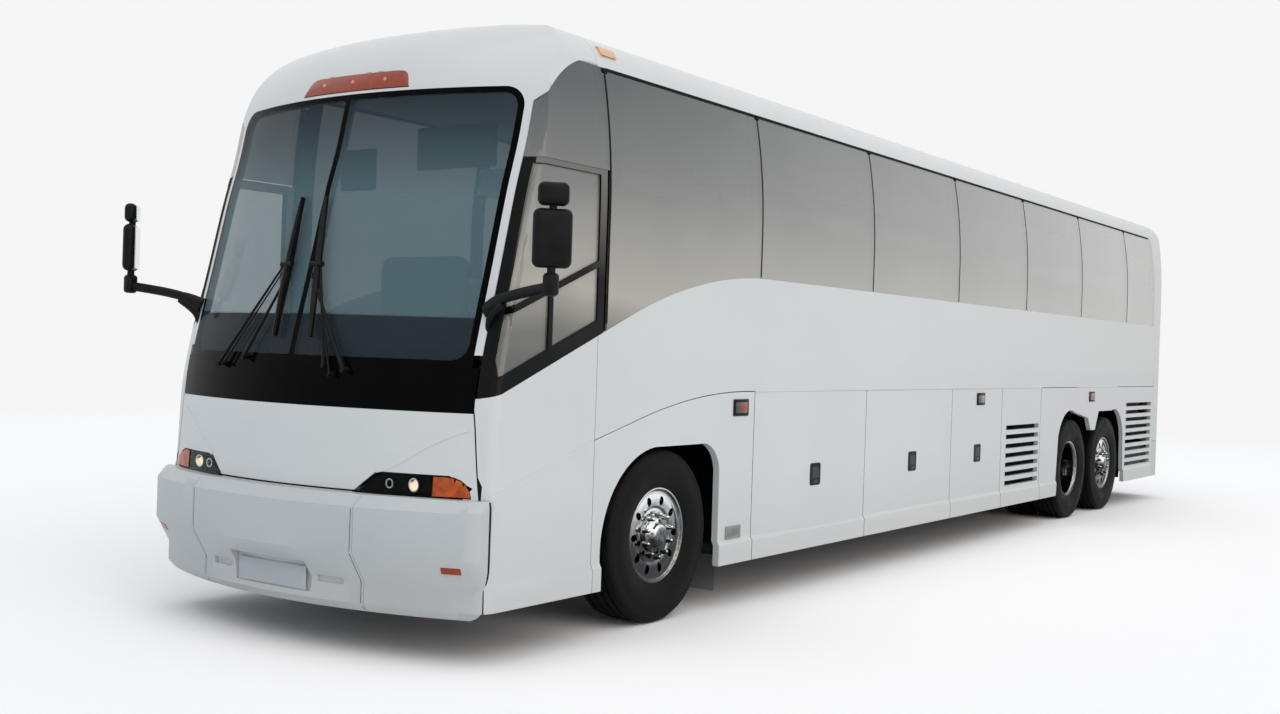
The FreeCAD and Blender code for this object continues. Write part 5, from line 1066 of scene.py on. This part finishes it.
# Behind the windshield: folded sun visors hang from the roof, a hooded instrument panel stands before the
# driver, and a dark moulded front closes the dashboard under the glass.
VISORS = (((-0.23, -6.03, 2.53), (0.05, -6.00, 2.77)), ((0.40, -6.05, 2.62), (0.98, -6.02, 2.86)))
DASH_HALF, DASH_STEPS, DASH_LEVELS = 1.07, 60, (1.545, 1.70, 1.795)
dash_dark = coat("dash_dark", (0.010, 0.014, 0.017), (0.020, 0.026, 0.030), 0.6, 0.75, scale=5.0, grain=0.2,
                 sheer=0.2)
screen_faces = faces_of("windshield_panes", "windshield_surround")
form_visors, form_hood, form_front = (bmesh.new() for _ in range(3))
for low, high in VISORS:
    add_box(form_visors, low, high, 0.014, 3)
add_box(form_hood, (0.27, -6.20, 1.66), (0.88, -6.06, 2.13), 0.068, 6)
# The dark dash front fills the foot of the windshield as a dark band: a dashboard front, and partly painted
# shade under the glass.
skins = [[], []]
for k in range(DASH_STEPS + 1):
    x = -DASH_HALF + 2 * DASH_HALF * k / DASH_STEPS
    for skin, back in zip(skins, (0.035, 0.050)):
        hits = [(met_from_front(screen_faces, x, z), z) for z in DASH_LEVELS]
        skin.append([form_front.verts.new((x, (hit.y if hit else -6.30) + back, z)) for hit, z in hits])
close_skins(form_front, *skins)
finish_form(form_front, 1e-6)
place_mesh("sun_visors", form_visors, rubber_and_gap_shade, "body", 30.0)
place_mesh("instrument_hood", form_hood, dash_dark, "body", 40.0)
place_mesh("dash_front", form_front, dash_dark, "body", 30.0)

# Round tail lamps: three red lenses a side, fluted in rings, in bright rims screwed to the rear mask.
# They stand one above the other.
TAIL_REACH, TAIL_FOOT, TAIL_PITCH = 1.04, 1.12, 0.189
TAIL_RIM = [(0.0, 0.0715), (0.004, 0.0705), (0.004, 0.064), (0.001, 0.062)]
FLUTES = [(0.0, 0.0)] + [(0.0005 + 0.002 * (k % 2), 0.062 * k / 12) for k in range(1, 13)] + [(-0.02, 0.062)]
tail_red = coat("tail_red", (0.26, 0.012, 0.008), (0.42, 0.025, 0.015), 0.10, clear=0.8, scale=24.0)
body_lamp_faces = faces_of("body_lamps")
form_ring, form_red = bmesh.new(), bmesh.new()
for side in (1, -1):
    for index in range(3):
        x, z = side * TAIL_REACH, TAIL_FOOT + TAIL_PITCH * index
        hit = body_lamp_faces.ray_cast(Vector((x, 8.0, z)), Vector((0, -1, 0)))[0]
        turned_part(form_ring, TAIL_RIM, (x, hit.y - 0.004, z), (0, 1, 0), 40)
        turned_part(form_red, FLUTES, (x, hit.y - 0.004, z), (0, 1, 0), 40)
finish_form(form_ring, 1e-5)
finish_form(form_red, 1e-5)
place_mesh("tail_lamp_rims", form_ring, chrome, "body", 40.0)
place_mesh("tail_lamp_lenses", form_red, tail_red, "body", 20.0)

# Studio: pale floor that runs on to the horizon, white surroundings, broad soft lamps, and the camera
# at head height off the bus's front left corner.
WHITE = (0.92, 0.92, 0.92, 1)
FLOOR_HALF, FLOOR_FADES, HORIZON_AT = 300, 9.0, 26.0
CAMERA_PLACE = Vector((5.915, -11.736, 1.664))
AZIMUTH, ELEVATION, ROLL = (math.radians(a) for a in (34.722, 0.346, 1.912))
floor_mesh = bpy.data.meshes.new("studio_floor")
corners = [(x * FLOOR_HALF, y * FLOOR_HALF, 0) for x, y in ((-1, -1), (1, -1), (1, 1), (-1, 1))]
floor_mesh.from_pydata(corners, [], [(0, 1, 2, 3)])
floor = bpy.data.objects.new("studio_floor", floor_mesh)
bpy.context.scene.collection.objects.link(floor)
floor_finish, tree, surface = new_material("studio_floor")
camera_ray = add_node(tree, "ShaderNodeLightPath").outputs["Is Camera Ray"]
floor_tone = mixed(tree, camera_ray, (0.88, 0.88, 0.88, 1), (1.22, 1.165, 1.15, 1))
set_inputs(tree, surface, {"Roughness": 1.0, "Specular IOR Level": 0.0, "Base Color": floor_tone})
place = add_node(tree, "ShaderNodeTexCoord").outputs["Object"]
reach = add_node(tree, "ShaderNodeVectorMath", {0: place}, operation="LENGTH").outputs["Value"]
far_off = ranged(tree, reach, FLOOR_FADES, HORIZON_AT, interpolation_type="SMOOTHSTEP")
horizon = add_node(tree, "ShaderNodeEmission", {"Color": WHITE})
run_on = add_node(tree, "ShaderNodeMixShader", {"Fac": computed(tree, "MULTIPLY", camera_ray, far_off),
                                                1: surface.outputs["BSDF"], 2: horizon.outputs["Emission"]})
tree.links.new(run_on.outputs["Shader"], tree.nodes["Material Output"].inputs["Surface"])
floor_mesh.materials.append(floor_finish)

world = bpy.data.worlds.new("studio")
bpy.context.scene.world = world
world.use_nodes = True
tree = world.node_tree
tree.nodes.clear()
rays = add_node(tree, "ShaderNodeLightPath").outputs
direct = computed(tree, "MAXIMUM", rays["Is Camera Ray"], rays["Is Glossy Ray"])
direct = computed(tree, "MAXIMUM", direct, rays["Is Transmission Ray"])
ambient = add_node(tree, "ShaderNodeBackground", {"Color": (0.82, 0.925, 1.0, 1), "Strength": 0.57})
seen = add_node(tree, "ShaderNodeBackground", {"Color": WHITE, "Strength": 1.0})
blend = add_node(tree, "ShaderNodeMixShader", {"Fac": direct, 1: ambient.outputs["Background"],
                                               2: seen.outputs["Background"]})
add_node(tree, "ShaderNodeOutputWorld", {"Surface": blend.outputs["Shader"]})

for name, strength, colour, toward, spread in (
        ("sky_lamp", 0.75, (1.0, 1.0, 1.0), (-0.25, 0.2, -1.0), 80),
        ("side_lamp", 0.72, (1.0, 0.865, 0.74), (-1.0, 0.25, -0.45), 60)):
    lamp = bpy.data.lights.new(name, "SUN")
    lamp.energy = strength
    lamp.color = colour
    lamp.angle = math.radians(spread)
    holder = bpy.data.objects.new(name, lamp)
    holder.rotation_mode = "QUATERNION"
    holder.rotation_quaternion = Vector(toward).to_track_quat("-Z", "Y")
    bpy.context.scene.collection.objects.link(holder)

camera_data = bpy.data.cameras.new("camera")
camera_data.sensor_width = 36.0
camera_data.lens = 39.105
camera_data.clip_end = 1000.0
forward = Vector((-math.sin(AZIMUTH) * math.cos(ELEVATION), math.cos(AZIMUTH) * math.cos(ELEVATION),
                  -math.sin(ELEVATION)))
level_right = forward.cross(Vector((0, 0, 1))).normalized()
level_up = level_right.cross(forward)
right = level_right * math.cos(ROLL) + level_up * math.sin(ROLL)
up = level_up * math.cos(ROLL) - level_right * math.sin(ROLL)
camera = bpy.data.objects.new("camera", camera_data)
camera.matrix_world = Matrix.Translation(CAMERA_PLACE) @ Matrix((right, up, -forward)).transposed().to_4x4()
bpy.context.scene.collection.objects.link(camera)
bpy.context.scene.camera = camera
bpy.context.scene.view_settings.view_transform = "Standard"
